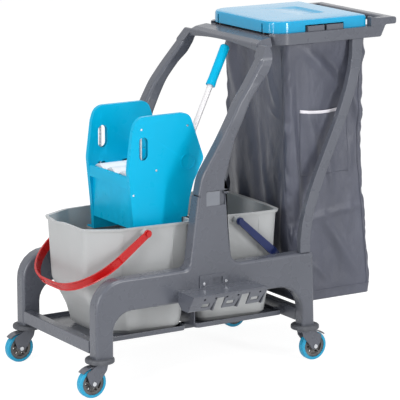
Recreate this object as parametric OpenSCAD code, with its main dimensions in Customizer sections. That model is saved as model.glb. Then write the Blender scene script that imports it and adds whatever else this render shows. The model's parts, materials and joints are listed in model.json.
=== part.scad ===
// Two-bucket janitor cart with wringer, tool rack and lidded waste bag.
// +Z is up, -X is the bucket end, +X is the push handle end, z = 0 is the floor.
// The origin is on the floor, midway between the four caster swivels.

/* [Buckets] */
// Length of the front bucket over its rim
front_bucket_l = 354; // [340:1:366]
// Length of the rear bucket over its rim
rear_bucket_l = 298; // [286:1:308]
// Width of a bucket over its rim
bucket_w = 380; // [340:1:400]
// Height of a bucket
bucket_h = 338; // [325:1:350]
// How far each bucket wall leans in from rim to base
bucket_draft = 32; // [20:1:34]
// Wall thickness of the buckets
bucket_wall = 3; // [2.5:0.1:4]
// Width of the lip that runs round the rim
rim_lip = 8; // [6:0.5:10]
// Gap between the two bucket rims
bucket_gap = 10; // [6:1:20]
// How much narrower the front end of a bucket is on each side
bucket_taper = 26; // [16:1:32]
// Length of the cut corners at the front of the front bucket
nose_cut = 98; // [80:1:110]
// How far the rear wall of the rear bucket bows out
rear_bow = 12; // [6:1:14]
// Gap between a bucket rim and the side frame beside it
side_gap = 16; // [15:0.5:22]

/* [Bails] */
// Width of the bail band, seen from the side
bail_w = 20; // [14:1:24]
// Thickness of the bail band
bail_t = 7; // [5:0.5:8]
// Reach of the front bail from its pivot
front_bail_reach = 282; // [270:1:295]
// Reach of the rear bail from its pivot
rear_bail_reach = 214; // [206:1:216]
// Angle that the front bail hangs at, below level
front_bail_drop = 36; // [30:1:42]
// Angle that the rear bail hangs at, below level
rear_bail_drop = 42; // [40:1:44]
// Diameter of the studs that the bails turn on
bail_stud_d = 12; // [10:0.5:14]

/* [Casters] */
// Diameter of a caster wheel
wheel_d = 90; // [80:1:94]
// Width of a caster tyre
wheel_w = 24; // [20:1:28]
// Distance from swivel axis to wheel axle
trail = 29; // [26:1:34]
// Diameter of the hub that the tyre is moulded on
hub_d = 62; // [56:1:66]
// Diameter of the wheel axle
axle_d = 8; // [6:0.5:9]
// Diameter of the swivel stem
stem_d = 12; // [10:0.5:14]
// Length of the swivel stem above the fork crown
stem_l = 58; // [45:1:65]
// Diameter of the round wall bumper at the foot of each leg
bumper_d = 89; // [80:1:96]
// Height of the wall bumper
bumper_h = 14; // [10:1:18]

/* [Chassis] */
// Thickness of a side frame across the cart
frame_t = 48; // [44:1:54]
// Height of the underside of the side arch above the floor
arch_z = 252; // [245:1:265]
// Height of the top of the side beam above the floor
beam_z = 352; // [340:1:365]
// Length of a front leg along the cart
front_leg_l = 60; // [54:1:70]
// Length of a rear leg along the cart
rear_leg_l = 44; // [42:1:54]
// Height of the seam where the upper arm plugs into the column
seam_z = 570; // [550:1:590]
// Length of the column along the cart at the seam
column_l = 98; // [92:1:104]
// Height of the cross beams
cross_h = 38; // [34:1:42]
// Thickness of the cross beams along the cart
cross_t = 30; // [24:1:34]
// Height of the tray floors above the underside of the legs
tray_lift = 27; // [25:1:34]
// Height of the rim of the trays above their floor
tray_rim = 11; // [8:1:16]
// Thickness of the tray floors and rims
tray_t = 4; // [3:0.5:5]

/* [Upper frame] */
// Height of the top edge of the arms
arm_top_z = 1004; // [995:1:1008]
// Thickness of an arm across the cart
arm_t = 44; // [38:1:46]
// Depth of an arm at its top end
arm_d = 42; // [38:1:46]
// Outer width of the ring that carries the bag
ring_w = 400; // [380:1:404]
// Height of the underside of the ring
ring_z = 994; // [985:1:1000]
// Height of the ring
ring_h = 34; // [30:1:38]
// Wall thickness of the ring
ring_t = 22; // [20:1:26]
// Depth of the ring's front deck, which holds the lid hinge
deck_l = 67; // [60:1:80]
// Width of a rear strut, seen from the side
strut_w = 36; // [30:1:40]
// Thickness of a rear strut
strut_t = 22; // [18:1:24]
// Depth of the push bar
grip_l = 36; // [30:1:40]
// Height of the push bar
grip_h = 22; // [18:1:26]
// Opening between ring and push bar for the hands
hand_gap = 44; // [38:1:55]

/* [Bag and lid] */
// Width of the bag at its top
bag_w = 350; // [320:1:352]
// Height of the bag
bag_h = 822; // [790:1:826]
// Thickness of the bag wall
bag_wall = 3; // [2:0.5:4]
// Width of the lid
lid_w = 374; // [366:1:382]
// Length of the lid
lid_l = 352; // [345:1:358]
// Height of the lid
lid_h = 37; // [34:1:42]
// Wall thickness of the lid
lid_wall = 3; // [2.5:0.5:4]
// Diameter of the lid's hinge pin
lid_pin_d = 6; // [5:0.5:7]

/* [Wringer] */
// Width of the wringer over its side covers
wringer_w = 262; // [252:1:272]
// Height of the wringer above the bucket rim
wringer_h = 323; // [314:1:332]
// Depth of a side cover
cover_d = 13; // [12:0.5:15]
// Wall thickness of the wringer mouldings
wringer_wall = 3; // [2.5:0.5:4]
// Width of a hand slot
slot_w = 32; // [28:1:36]
// Height of a hand slot
slot_h = 70; // [60:1:76]
// Pitch radius of the gear sectors
gear_r = 56; // [54:1:58]
// Distance from tooth to tooth
gear_pitch = 14.66; // [14:0.02:15.2]
// Height of the gear teeth
tooth_h = 5; // [4:0.5:6]
// Diameter of the lever shaft
shaft_d = 14; // [12:0.5:16]
// Diameter of the vertical guide rods
rod_d = 7; // [6:0.5:8]
// Length of the lever from shaft to end of the grip
lever_l = 398; // [380:1:400]
// Diameter of the lever tube
tube_d = 18; // [16:0.5:20]
// Diameter of the lever grip
grip_d = 30; // [26:0.5:32]
// Length of the lever grip
grip_len = 142; // [120:1:160]

/* [Tool rack] */
// Length of the rack along the beam
rack_l = 262; // [240:1:280]
// How far the rack's shelf stands out from the beam
rack_d = 90; // [80:1:100]
// Number of hooked tabs
rack_tabs = 3; // [2:1:4]

/* [Hidden] */
$fn = 48;
// Running clearance of shafts and studs, on the radius
run = 0.05;
// Gap between parts that only rest on each other
rest = 0.3;

// Plan of the chassis
wheel_base = front_bucket_l + rear_bucket_l + 82;
swivel_x = wheel_base / 2;
inner_y = bucket_w / 2 + side_gap;
outer_y = inner_y + frame_t;
mid_y = inner_y + frame_t / 2;
split_x = (front_bucket_l - rear_bucket_l) / 2 - 29;
front_bucket_x = split_x - (bucket_gap + front_bucket_l) / 2;
rear_bucket_x = split_x + (bucket_gap + rear_bucket_l) / 2;

// Heights of the casters and legs
axle_z = wheel_d / 2;
crown_z = wheel_d + 3;
crown_h = 10.7;
race_h = 2;
race_d = 36;
bumper_z = crown_z + crown_h + rest;
leg_z = bumper_z + bumper_h;

// Legs, cross beams and trays
front_leg_x = -swivel_x - 24;
rear_leg_x = swivel_x - 23;
rear_leg_end = rear_leg_x + rear_leg_l;
cross_z = leg_z + 10;
tray_z = leg_z + tray_lift;
front_tray_x0 = front_leg_x + cross_t;
front_tray_x1 = split_x - bucket_gap / 2 - bucket_draft + tray_t + 3;
rear_tray_x0 = split_x + bucket_gap / 2 + bucket_draft - 2 * tray_t - 22;
rear_tray_x1 = rear_leg_x - 24;
tray_y = bucket_w / 2 - bucket_draft + tray_t + 10;
divider_h = 44;
rear_cross_x = rear_leg_x + 2;
rail_h = 18;
rail_w = 24;
rail_y = 90;

// Column, with its foot wider than the seam
seam_x0 = -36;
seam_x1 = seam_x0 + column_l;
column_foot_x0 = seam_x0 - 30;
column_foot_x1 = seam_x1 + 22;
tenon_l = column_l - 38;
tenon_t = 26;
tenon_h = 68;
tenon_x = (seam_x0 + seam_x1) / 2;
latch_x0 = seam_x0 + 26;
latch_w = 48;
latch_h = 48;
latch_z = seam_z - 31;
latch_in = 6;

// Ring, push bar and struts
ring_x0 = column_foot_x1 + 179;
ring_top = ring_z + ring_h;
ring_x1 = ring_x0 + 379;
push_x0 = ring_x1 + hand_gap;
push_x1 = push_x0 + grip_l;
push_top = ring_top + 25;
arm_y0 = outer_y - arm_t;
yoke_x0 = ring_x0 - 54;
strut_x0 = rear_leg_end - 56;
strut_x1 = ring_x0 + 294;
strut_steps = 14;
strut_lean = atan((outer_y - ring_w / 2) / (ring_z - beam_z));

// Lid and its hinge
lid_x0 = ring_x0 + 7;
lid_z = ring_top + rest;
hinge_x = lid_x0 + 12;
hinge_z = ring_top + 17;
hinge_y = 125;
ear_t = 5;
ear_gap = 1;
hinge_groove = 6;
notch_x0 = lid_x0 + 118;
notch_l = 143;
notch_h = 20;
clip_l = 61;

// Bag
bag_top = ring_z - rest;
bag_x0 = ring_x0 + deck_l - 8;
bag_x1 = ring_x1 - 14;
bag_bottom = bag_top - bag_h;

// Wringer
rim_z = tray_z + bucket_h;
wr_x = front_bucket_x - 14.5;
panel_y = wringer_w / 2 - cover_d;
wr_in = front_bucket_x + front_bucket_l / 2 - rim_lip - bucket_wall - 5;
ledge_z = rim_z - 60;
flange_t = 4;
flange_y = wall_y(front_bucket_l, wr_x - front_bucket_x) - bucket_wall - 7;
shaft_x = wr_x + 198.5;
shaft_z = rim_z + 172;
slot_x = wr_x + 42.5;
slot_z = rim_z + 226;
basket_z = rim_z + 20;
band_z = rim_z + 107;
band_h = 34;
press_z = rim_z + 128;
press_h = 18;
press_x0 = wr_x + 14;
press_x1 = wr_x + 140;
press_travel = gear_r * 60 * PI / 180;
rack_x = shaft_x - gear_r;
rack_bar = 12;
gear_w = cover_d - wringer_wall - 2;
gear_y = panel_y + (cover_d - wringer_wall) / 2;
cavity_y = wringer_w / 2 - wringer_wall - 1;
rod_top = rim_z + 270;
rod_x = wr_x + 38;
lever_tilt = 33.8;
lever_lean = 13.3;
lever_y = -95;
hub_w = 26;

// Bails
pivot_z = rim_z - 18;
front_pivot_x = front_bucket_x + 3.5;
rear_pivot_x = rear_bucket_x - 5.5;
stud_end = bucket_w / 2 + 12;
bail_y = bucket_w / 2 + 3;

// Tool rack
rack_x0 = seam_x0 - 74;
shelf_z = beam_z - 61;
rack_t = 4;

chassis_grey = [0.40, 0.42, 0.46];
bucket_grey = [0.78, 0.79, 0.80];
cyan = [0.0, 0.70, 0.90];
steel = [0.75, 0.76, 0.78];

// Points of one rounded corner b between a and c
function unit(v) = v / norm(v);
function wrap(a) = a > 180 ? a - 360 : a < -180 ? a + 360 : a;
function corner(a, b, c, r, n) =
  let (u = unit(a - b), v = unit(c - b), half = acos(u * v) / 2,
       p = b + u * r / tan(half), q = b + v * r / tan(half),
       m = b + unit(u + v) * r / sin(half),
       a0 = atan2(p[1] - m[1], p[0] - m[0]),
       sweep = wrap(atan2(q[1] - m[1], q[0] - m[0]) - a0))
  [for (i = [0:n]) m + r * [cos(a0 + sweep * i / n), sin(a0 + sweep * i / n)]];

// Outline from corners given as [x, y, radius]
function flat2(p) = [p[0], p[1]];
function rounded(p, n = 6) =
  [for (i = [0:len(p) - 1])
    let (a = flat2(p[(i + len(p) - 1) % len(p)]), b = flat2(p[i]), c = flat2(p[(i + 1) % len(p)]))
    each (p[i][2] > 0 ? corner(a, b, c, p[i][2], n) : [b])];

// Corners of a rectangle from its low and high corners
function box_corners(lo, hi, r) =
  [[lo[0], lo[1], r], [hi[0], lo[1], r], [hi[0], hi[1], r], [lo[0], hi[1], r]];

// Corner list moved inwards by d, for outlines that run anticlockwise
function line_cut(p, u, q, v) =
  let (det = u[0] * v[1] - u[1] * v[0], w = q - p)
  p + u * (w[0] * v[1] - w[1] * v[0]) / det;
function inset(p, d) =
  [for (i = [0:len(p) - 1])
    let (a = flat2(p[(i + len(p) - 1) % len(p)]), b = flat2(p[i]), c = flat2(p[(i + 1) % len(p)]),
         u = unit(b - a), v = unit(c - b),
         m = line_cut(b + d * [-u[1], u[0]], u, b + d * [-v[1], v[0]], v))
    [m[0], m[1], max(p[i][2] - d, 0)]];

// Profile in the XZ plane, extruded from y0 towards y1
module side_profile(points, y0, y1) {
  translate([0, y1, 0])
    rotate([90, 0, 0])
      linear_extrude(height = y1 - y0) polygon(points);
}

// Profile in the XY plane, extruded from z0 to z1
module plan_profile(points, z0, z1) {
  translate([0, 0, z0]) linear_extrude(height = z1 - z0) polygon(points);
}

module block(lo, hi) {
  translate(lo) cube(hi - lo);
}

// Cylinder along Y between y0 and y1
module y_rod(x, z, d, y0, y1) {
  translate([x, y1, z]) rotate([90, 0, 0]) cylinder(d = d, h = y1 - y0);
}

module on_side(side) {
  if (side < 0) children();
  else mirror([0, 1, 0]) children();
}

module both_sides() {
  for (side = [-1, 1]) on_side(side) children();
}

// Side frames, drawn for the left side at negative Y
frame_outline = [
  [front_leg_x, leg_z, 0], [front_leg_x + front_leg_l, leg_z, 0],
  [front_leg_x + front_leg_l, arch_z, 62], [rear_leg_x, arch_z, 88],
  [rear_leg_x, leg_z, 0], [rear_leg_end, leg_z, 0],
  [rear_leg_end - 8, beam_z, 12], [column_foot_x1, beam_z, 35],
  [seam_x1, seam_z, 0], [seam_x0, seam_z, 0],
  [column_foot_x0, beam_z, 25], [front_leg_x, beam_z, 90]
];

module frame_body() {
  difference() {
    side_profile(rounded(frame_outline), -outer_y, -inner_y);
    for (x = [-swivel_x, swivel_x])
      translate([x, -mid_y, leg_z - 1])
        cylinder(r = stem_d / 2 + run, h = stem_l - bumper_h + 4);
    tenon_space();
    latch_space();
  }
}

module latch_space() {
  block([latch_x0, -outer_y - 1, latch_z], [latch_x0 + latch_w + 20, -outer_y + latch_in, latch_z + latch_h + 2]);
}

module tenon_space() {
  block([tenon_x - tenon_l / 2 - rest, -mid_y - tenon_t / 2 - rest, seam_z - tenon_h - 2],
        [tenon_x + tenon_l / 2 + rest, -mid_y + tenon_t / 2 + rest, seam_z + 1]);
}

module side_frame(side) {
  color(chassis_grey) on_side(side) frame_body();
}

module cross_beam(x) {
  color(chassis_grey)
    difference() {
      block([x, -inner_y, cross_z], [x + cross_t, inner_y, cross_z + cross_h]);
      block([x + 4, -inner_y + 30, cross_z - 1], [x + cross_t - 4, inner_y - 30, cross_z + cross_h - 4]);
    }
}

module base_rails() {
  color(chassis_grey)
    both_sides()
      block([front_tray_x0, -rail_y - rail_w / 2, tray_z - tray_t - rail_h],
            [rear_cross_x, -rail_y + rail_w / 2, tray_z - tray_t]);
}

module tray(x0, x1, divider) {
  color(chassis_grey) {
    difference() {
      plan_profile(rounded(box_corners([x0, -tray_y], [x1, tray_y], 14)), tray_z - tray_t, tray_z + tray_rim);
      plan_profile(rounded(box_corners([x0 + tray_t, -tray_y + tray_t], [x1 - tray_t, tray_y - tray_t], 10)),
                   tray_z, tray_z + tray_rim + 1);
    }
    if (divider > 0) block([x0, -tray_y + 14, tray_z - tray_t], [x0 + tray_t, tray_y - 14, tray_z + divider]);
  }
}

// Arm that rises from the column and bends level under the ring
arm_end_x = ring_x0 - 32;
arm_outline = [
  [seam_x1, seam_z, 0], [seam_x1 - 1, seam_z + 58, 60], [seam_x1 + 26, seam_z + 167, 200],
  [seam_x1 + 80, seam_z + 277, 200], [seam_x1 + 150, seam_z + 363, 90],
  [arm_end_x - 5, arm_top_z - 44, 16], [arm_end_x, arm_top_z - 24, 8], [arm_end_x - 5, arm_top_z, 8],
  [arm_end_x - 18, arm_top_z, 8], [seam_x0 + 220, seam_z + 388, 90], [seam_x0 + 133, seam_z + 275, 200],
  [seam_x0 + 73, seam_z + 165, 200], [seam_x0 + 9, seam_z + 59, 110], [seam_x0, seam_z, 0]
];

// Band that the arms follow in the YZ plane: they bow out, then close in to the yoke
module arm_band(x0, x1) {
  steps = [[0, 0, 0], [130, 9, 500], [230, 14, 400], [320, 9, 300], [390, -3, 200], [460, -30, 0]];
  translate([x1, 0, 0]) rotate([90, 0, -90])
    linear_extrude(height = x1 - x0)
      polygon(rounded(concat([for (p = steps) [outer_y + p[1], seam_z + p[0], p[2]]],
                             [for (i = [len(steps) - 1:-1:0])
                               [arm_y0 + steps[i][1], seam_z + steps[i][0], steps[i][2]]]), 8));
}

module arm(side) {
  color(chassis_grey) on_side(side) {
    difference() {
      intersection() {
        side_profile(rounded(arm_outline, 8), -outer_y - 20, -arm_y0 + 40);
        arm_band(seam_x0 - 10, arm_end_x + 10);
      }
      latch_space();
    }
    block([tenon_x - tenon_l / 2, -mid_y - tenon_t / 2, seam_z - tenon_h],
          [tenon_x + tenon_l / 2, -mid_y + tenon_t / 2, seam_z]);
  }
}

// Square clip in a pocket of each column, with a nose behind its plate
module latch() {
  block([latch_x0, -outer_y, latch_z], [latch_x0 + latch_w, -outer_y + latch_in, latch_z + latch_h - 4]);
}

module column_latches() {
  color([0.50, 0.52, 0.56]) both_sides() latch();
}

// Hooded cross-piece with an arched lower lip
yoke_outline = [
  [yoke_x0, ring_z - 14, 4], [yoke_x0 + 30, ring_z - 14, 6], [ring_x0, ring_z, 0],
  [ring_x0, ring_top - hinge_groove - 2, 0], [yoke_x0 + 16, ring_z + 20, 10], [yoke_x0 - 4, ring_z + 10, 8]
];

module top_yoke() {
  arch_rise = 15;
  arch_r = (arm_y0 * arm_y0 + arch_rise * arch_rise) / (2 * arch_rise);
  color(chassis_grey)
    difference() {
      side_profile(rounded(yoke_outline), -arm_y0, arm_y0);
      translate([yoke_x0 - 10, 0, ring_z - 14 + arch_rise - arch_r])
        rotate([0, 90, 0]) cylinder(r = arch_r, h = ring_x0 - yoke_x0 - 4, $fn = 240);
      both_sides() arm_band(yoke_x0 - 20, ring_x0 + 1);
      both_sides() block([yoke_x0 - 20, -arm_y0 - 30, ring_z - 60], [ring_x0 + 1, -arm_y0 + 12, ring_top + 10]);
    }
}

module hinge_ear(y) {
  difference() {
    side_profile(rounded([[hinge_x - 6, ring_top - hinge_groove, 0], [hinge_x + 9, ring_top - hinge_groove, 0],
                          [hinge_x + 6, hinge_z + 7, 5], [hinge_x - 6, hinge_z + 7, 5]]),
                 y - ear_t / 2, y + ear_t / 2);
    y_rod(hinge_x, hinge_z, lid_pin_d + 2 * run, y - ear_t, y + ear_t);
  }
}

// Ring with front deck, raised rear cheeks and the push bar
cheek_outline = [
  [ring_x1 - 60, ring_z, 0], [ring_x1 + 22, ring_z, 10], [push_x0 - 4, push_top - grip_h, 8],
  [push_x1, push_top - grip_h, 6], [push_x1, push_top, 8], [ring_x1 + 10, push_top, 30],
  [ring_x1 - 16, push_top + 6, 5], [ring_x1 - 16, ring_top, 0], [ring_x1 - 60, ring_top, 0]
];

ring_plan = [[ring_x0, -ring_w / 2, 60], [ring_x1, -ring_w / 2, 4],
             [ring_x1, ring_w / 2, 4], [ring_x0, ring_w / 2, 60]];

module bag_ring() {
  half = ring_w / 2;
  color(chassis_grey) {
    difference() {
      plan_profile(rounded(ring_plan), ring_z, ring_top);
      plan_profile(rounded(box_corners([ring_x0 + deck_l, -half + ring_t], [ring_x1 - 30, half - ring_t], 20)),
                   ring_z - 1, ring_top + 1);
      block([ring_x0 + 22, -half + 50, ring_z - 1], [ring_x0 + deck_l - 10, half - 50, ring_z + 14]);
      block([ring_x0 - 1, -166, ring_top - hinge_groove], [ring_x0 + 37, 166, ring_top + 1]);
    }
    both_sides() side_profile(rounded(cheek_outline), -half, -half + ring_t);
    side_profile(rounded(box_corners([push_x0, push_top - grip_h], [push_x1, push_top], 8)),
                 -half + ring_t - 1, half - ring_t + 1);
    for (y = [-hinge_y, hinge_y]) hinge_ear(y);
  }
}

// S-shaped strut, upright at both ends, leaning in towards the ring
function ease(t) = t * t * (3 - 2 * t);
function strut_edge(dx) =
  [for (i = [0:strut_steps])
    let (t = i / strut_steps)
    [strut_x0 + dx + (strut_x1 - strut_x0) * ease(t), beam_z + (ring_z - beam_z) * t]];
strut_front = strut_edge(0);
strut_back = strut_edge(strut_w);
strut_outline = concat(
  [[strut_x0, beam_z - 20]], strut_front, [[strut_x1, ring_z + 20], [strut_x1 + strut_w, ring_z + 20]],
  [for (i = [strut_steps:-1:0]) strut_back[i]], [[strut_x0 + strut_w, beam_z - 20]]);

module strut(side) {
  color(chassis_grey) on_side(side)
    intersection() {
      translate([0, -outer_y, beam_z]) rotate([-strut_lean, 0, 0]) translate([0, 0, -beam_z])
        side_profile(strut_outline, 0, strut_t);
      block([strut_x0 - 20, -outer_y - 40, beam_z], [strut_x1 + 80, 0, ring_z]);
    }
}

// Blocks on the ring that pinch the bag's hem
module bag_clips() {
  color([0.36, 0.38, 0.41])
    both_sides()
      for (x = [notch_x0 + 6, notch_x0 + notch_l - 6 - clip_l])
        block([x, -lid_w / 2 - 7, ring_top], [x + clip_l, -lid_w / 2 + 7, ring_top + notch_h - 3]);
}

// One slice of the bag, as a thin rounded slab
module bag_slice(z, x0, x1, half, r) {
  plan_profile(rounded(box_corners([x0, -half], [x1, half], r), 4), z, z + 0.5);
}

module bag_level(drop, front, back, side, r, d) {
  bag_slice(bag_top - drop, bag_x0 + front + d, bag_x1 + back - d, bag_w / 2 + side - d, r - d);
}

module bag_form(d) {
  hull() {
    bag_level(0.5, 0, 0, 0, 22, d);
    bag_level(bag_h * 0.48, 8, -10, 2, 24, d);
  }
  hull() {
    bag_level(bag_h * 0.48, 8, -10, 2, 24, d);
    bag_level(bag_h * 0.8, 30, 12, 4, 30, d);
  }
  hull() {
    bag_level(bag_h * 0.8, 30, 12, 4, 30, d);
    bag_level(bag_h - 26 - d, 52, 24, 4, 38, d);
    bag_level(bag_h - d, 66, 10, -12, 38, d);
  }
}

module bag() {
  color([0.38, 0.40, 0.44])
    difference() {
      bag_form(0);
      bag_form(bag_wall);
      block([bag_x0 + 20, -bag_w / 2 + 20, bag_top - 20], [bag_x1 - 20, bag_w / 2 - 20, bag_top + 1]);
      plan_profile(rounded(box_corners([bag_x0 + bag_wall, -bag_w / 2 + bag_wall],
                                       [bag_x1 - bag_wall, bag_w / 2 - bag_wall], 19), 4),
                   bag_top - 4, bag_top + 1);
    }
}

// Lid: a shallow shell with a crowned top
module lid_slice(z, d) {
  half = lid_w / 2 - d;
  plan_profile(rounded([[lid_x0 + d, -half, 60 - d], [lid_x0 + lid_l - d, -half, 16 - d / 2],
                        [lid_x0 + lid_l - d, half, 16 - d / 2], [lid_x0 + d, half, 60 - d]]), z, z + 0.5);
}

module lid_shell() {
  difference() {
    hull() {
      lid_slice(lid_z, 0);
      lid_slice(lid_z + lid_h - 9, 0);
      lid_slice(lid_z + lid_h - 3, 3);
      lid_slice(lid_z + lid_h - 0.5, 12);
    }
    hull() {
      lid_slice(lid_z - 1, lid_wall);
      lid_slice(lid_z + lid_h - 11, lid_wall);
      lid_slice(lid_z + lid_h - lid_wall - 0.5, 12);
    }
  }
}

module lid() {
  gap = ear_t / 2 + ear_gap;
  color(cyan)
    difference() {
      union() {
        lid_shell();
        y_rod(hinge_x, hinge_z, lid_pin_d + 10, -hinge_y - 16, hinge_y + 16);
        block([lid_x0 + 1, -hinge_y - 1, hinge_z - 7], [hinge_x, hinge_y + 1, hinge_z + 7]);
        block([lid_x0 + lid_l - 1, -26, lid_z + 14], [lid_x0 + lid_l + 9, 26, lid_z + lid_h - 6]);
      }
      y_rod(hinge_x, hinge_z, lid_pin_d + 2 * run, -hinge_y - 18, hinge_y + 18);
      for (y = [-hinge_y, hinge_y])
        block([lid_x0 - 1, y - gap, lid_z - 1], [hinge_x + 14, y + gap, hinge_z + 10]);
      both_sides()
        block([notch_x0, -lid_w / 2 - 1, lid_z - 1], [notch_x0 + notch_l, -lid_w / 2 + 9, lid_z + notch_h]);
    }
}

module lid_pin() {
  color(steel) y_rod(hinge_x, hinge_z, lid_pin_d, -hinge_y - 14, hinge_y + 14);
}

// Tool rack: hanger tab, shelf, and a sloping comb of hooked tabs
tab_pitch = rack_l / rack_tabs;
comb_in = 32;
comb_drop = 54;

module rack_comb() {
  shelf_y = -outer_y - rack_d;
  intersection() {
    translate([rack_x0 + rack_l, 0, 0])
      rotate([90, 0, -90])
        linear_extrude(height = rack_l)
          polygon([[-shelf_y, shelf_z], [-shelf_y, shelf_z - rack_t], [-shelf_y - comb_in, shelf_z - comb_drop],
                   [-shelf_y - comb_in - rack_t, shelf_z - comb_drop], [-shelf_y - rack_t - 1, shelf_z]]);
    union() {
      block([rack_x0, shelf_y - 1, shelf_z - 14], [rack_x0 + rack_l, -outer_y, shelf_z + 1]);
      for (i = [0:rack_tabs - 1])
        side_profile([[rack_x0 + i * tab_pitch + 30, shelf_z - 10],
                      [rack_x0 + i * tab_pitch + 30, shelf_z - comb_drop - 1],
                      [rack_x0 + i * tab_pitch + 74, shelf_z - comb_drop - 1],
                      [rack_x0 + (i + 1) * tab_pitch, shelf_z - 10]], shelf_y - 1, -outer_y);
    }
  }
}

module rack_rib(x) {
  shelf_y = outer_y + rack_d;
  translate([x, 0, 0]) rotate([90, 0, -90])
    linear_extrude(height = rack_t)
      polygon([[shelf_y, shelf_z], [shelf_y, shelf_z - rack_t], [shelf_y - comb_in, shelf_z - comb_drop - 4],
               [shelf_y - comb_in - 13, shelf_z - comb_drop - 4], [shelf_y - 16, shelf_z]]);
}

// Closed pocket at the front end of the rack, or its hollow when d is the wall thickness
module rack_cup(x, l, d) {
  low = shelf_z - comb_drop + d;
  face = outer_y + rack_d - d;
  translate([x + l, 0, 0]) rotate([90, 0, -90])
    linear_extrude(height = l)
      polygon(rounded([[outer_y + d, shelf_z - d, 0], [outer_y + d, low + 20, 8], [outer_y + 22, low, 10],
                       [face - comb_in, low, 6], [face, shelf_z - rack_t - d, 0], [face, shelf_z - d, 0]], 4));
}

module tool_rack() {
  shelf_y = -outer_y - rack_d;
  tab_x = rack_x0 + 75;
  cup_l = 34;
  color(chassis_grey)
    difference() {
      union() {
        side_profile(rounded([[rack_x0 + 8, shelf_z - 46, 16], [rack_x0 + rack_l - 20, shelf_z - 22, 6],
                              [rack_x0 + rack_l - 20, shelf_z, 0], [tab_x + 115, shelf_z, 4],
                              [tab_x + 92, shelf_z + 38, 4], [tab_x, shelf_z + 38, 4],
                              [tab_x, shelf_z, 0], [rack_x0 + 8, shelf_z, 0]]),
                     -outer_y - rack_t, -outer_y);
        plan_profile(rounded([[rack_x0, shelf_y, 26], [rack_x0 + rack_l, shelf_y, 3],
                              [rack_x0 + rack_l, -outer_y, 0], [rack_x0, -outer_y, 0]]),
                     shelf_z - rack_t, shelf_z);
        rack_cup(rack_x0, cup_l, 0);
        rack_comb();
        for (i = [1:rack_tabs]) rack_rib(rack_x0 + i * tab_pitch);
      }
      translate([rack_x0 + rack_l, 0, 0]) rotate([90, 0, -90])
        linear_extrude(height = rack_l + 2)
          polygon([[-shelf_y + 1, shelf_z - rack_t], [-shelf_y - comb_in, shelf_z - comb_drop - 6],
                   [-shelf_y + 1, shelf_z - comb_drop - 6]]);
      rack_cup(rack_x0 + rack_t, cup_l - 2 * rack_t, rack_t);
      block([tab_x + 47, -outer_y - rack_t - 1, shelf_z + 6], [tab_x + 81, -outer_y + 1, shelf_z + 27]);
      for (i = [0:2 * rack_tabs - 1])
        translate([rack_x0 + 44 + i * (rack_l - 66) / (2 * rack_tabs - 1), shelf_y + 6, shelf_z - 15])
          rotate([-57, 0, 0]) cylinder(d = 8, h = 16, center = true);
      for (i = [0:rack_tabs - 1])
        block([rack_x0 + i * tab_pitch + 40, shelf_y - 1, shelf_z - 42],
              [rack_x0 + i * tab_pitch + 68, shelf_y + comb_in + 6, shelf_z - 30]);
      for (x = [tab_x + 14, tab_x + 92]) y_rod(x, shelf_z + 12, 5.2, -outer_y - rack_t - 1, -outer_y + 1);
    }
}

module rack_screws() {
  color(steel)
    for (x = [rack_x0 + 89, rack_x0 + 167]) {
      y_rod(x, shelf_z + 12, 9, -outer_y - rack_t - 3, -outer_y - rack_t);
      y_rod(x, shelf_z + 12, 5, -outer_y - rack_t - 1, -outer_y);
    }
}

// Round bumpers under the legs, with the steel washers let in from below
module bumper_disc() {
  difference() {
    rotate_extrude($fn = 64)
      polygon(rounded([[0, 0, 0], [bumper_d / 2, 0, 4], [bumper_d / 2, bumper_h, 5], [0, bumper_h, 0]], 3));
    translate([0, 0, -1]) cylinder(r = stem_d / 2 + run, h = bumper_h + 2);
    translate([0, 0, -1]) cylinder(d = race_d + 0.2, h = race_h + 1);
  }
}

module at_swivels() {
  for (x = [-swivel_x, swivel_x], y = [-mid_y, mid_y]) translate([x, y, bumper_z]) children();
}

module bumper_discs() {
  color(chassis_grey) at_swivels() bumper_disc();
}

module swivel_races() {
  color(steel)
    at_swivels()
      difference() {
        cylinder(d = race_d, h = race_h);
        translate([0, 0, -1]) cylinder(d = stem_d + 1, h = race_h + 2);
      }
}

// Casters, drawn with the wheel trailing to +X of the swivel axis
module place_caster(end, side) {
  translate([end * swivel_x, side * mid_y, 0]) rotate([0, 0, end > 0 ? 0 : 180]) children();
}

fork_gap = 1.5;
fork_t = 4;
fork_y = wheel_w / 2 + fork_gap;

module fork(end, side) {
  hood_r = wheel_d / 2 + 6;
  arm_pts = rounded([[-19, crown_z + 6, 0], [-15, crown_z - 12, 10], [trail - 12, axle_z - 6, 6], [trail + 2, axle_z - 11, 9],
                     [trail + 14, axle_z + 2, 9], [trail + 25, crown_z - 14, 10], [19, crown_z + 6, 0]], 4);
  hood = concat([for (i = [0:12]) [trail + hood_r * cos(140 - 8 * i), axle_z + hood_r * sin(140 - 8 * i)]],
                [for (i = [12:-1:0])
                  [trail + (hood_r - 3) * cos(140 - 8 * i), axle_z + (hood_r - 3) * sin(140 - 8 * i)]]);
  color(chassis_grey) place_caster(end, side)
    difference() {
      union() {
        translate([0, 0, crown_z]) cylinder(d = 42, h = crown_h);
        translate([0, 0, crown_z]) cylinder(d = stem_d, h = stem_l);
        both_sides() side_profile(arm_pts, -fork_y - fork_t, -fork_y);
        side_profile(hood, -fork_y - 1, fork_y + 1);
      }
      y_rod(trail, axle_z, axle_d + 2 * run, -fork_y - 10, fork_y + 10);
      translate([0, 0, crown_z - 60]) translate([trail, 0, 60 - crown_z + axle_z]) rotate([90, 0, 0])
        translate([0, 0, -fork_y]) cylinder(d = wheel_d + 4, h = 2 * fork_y);
    }
}

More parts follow.
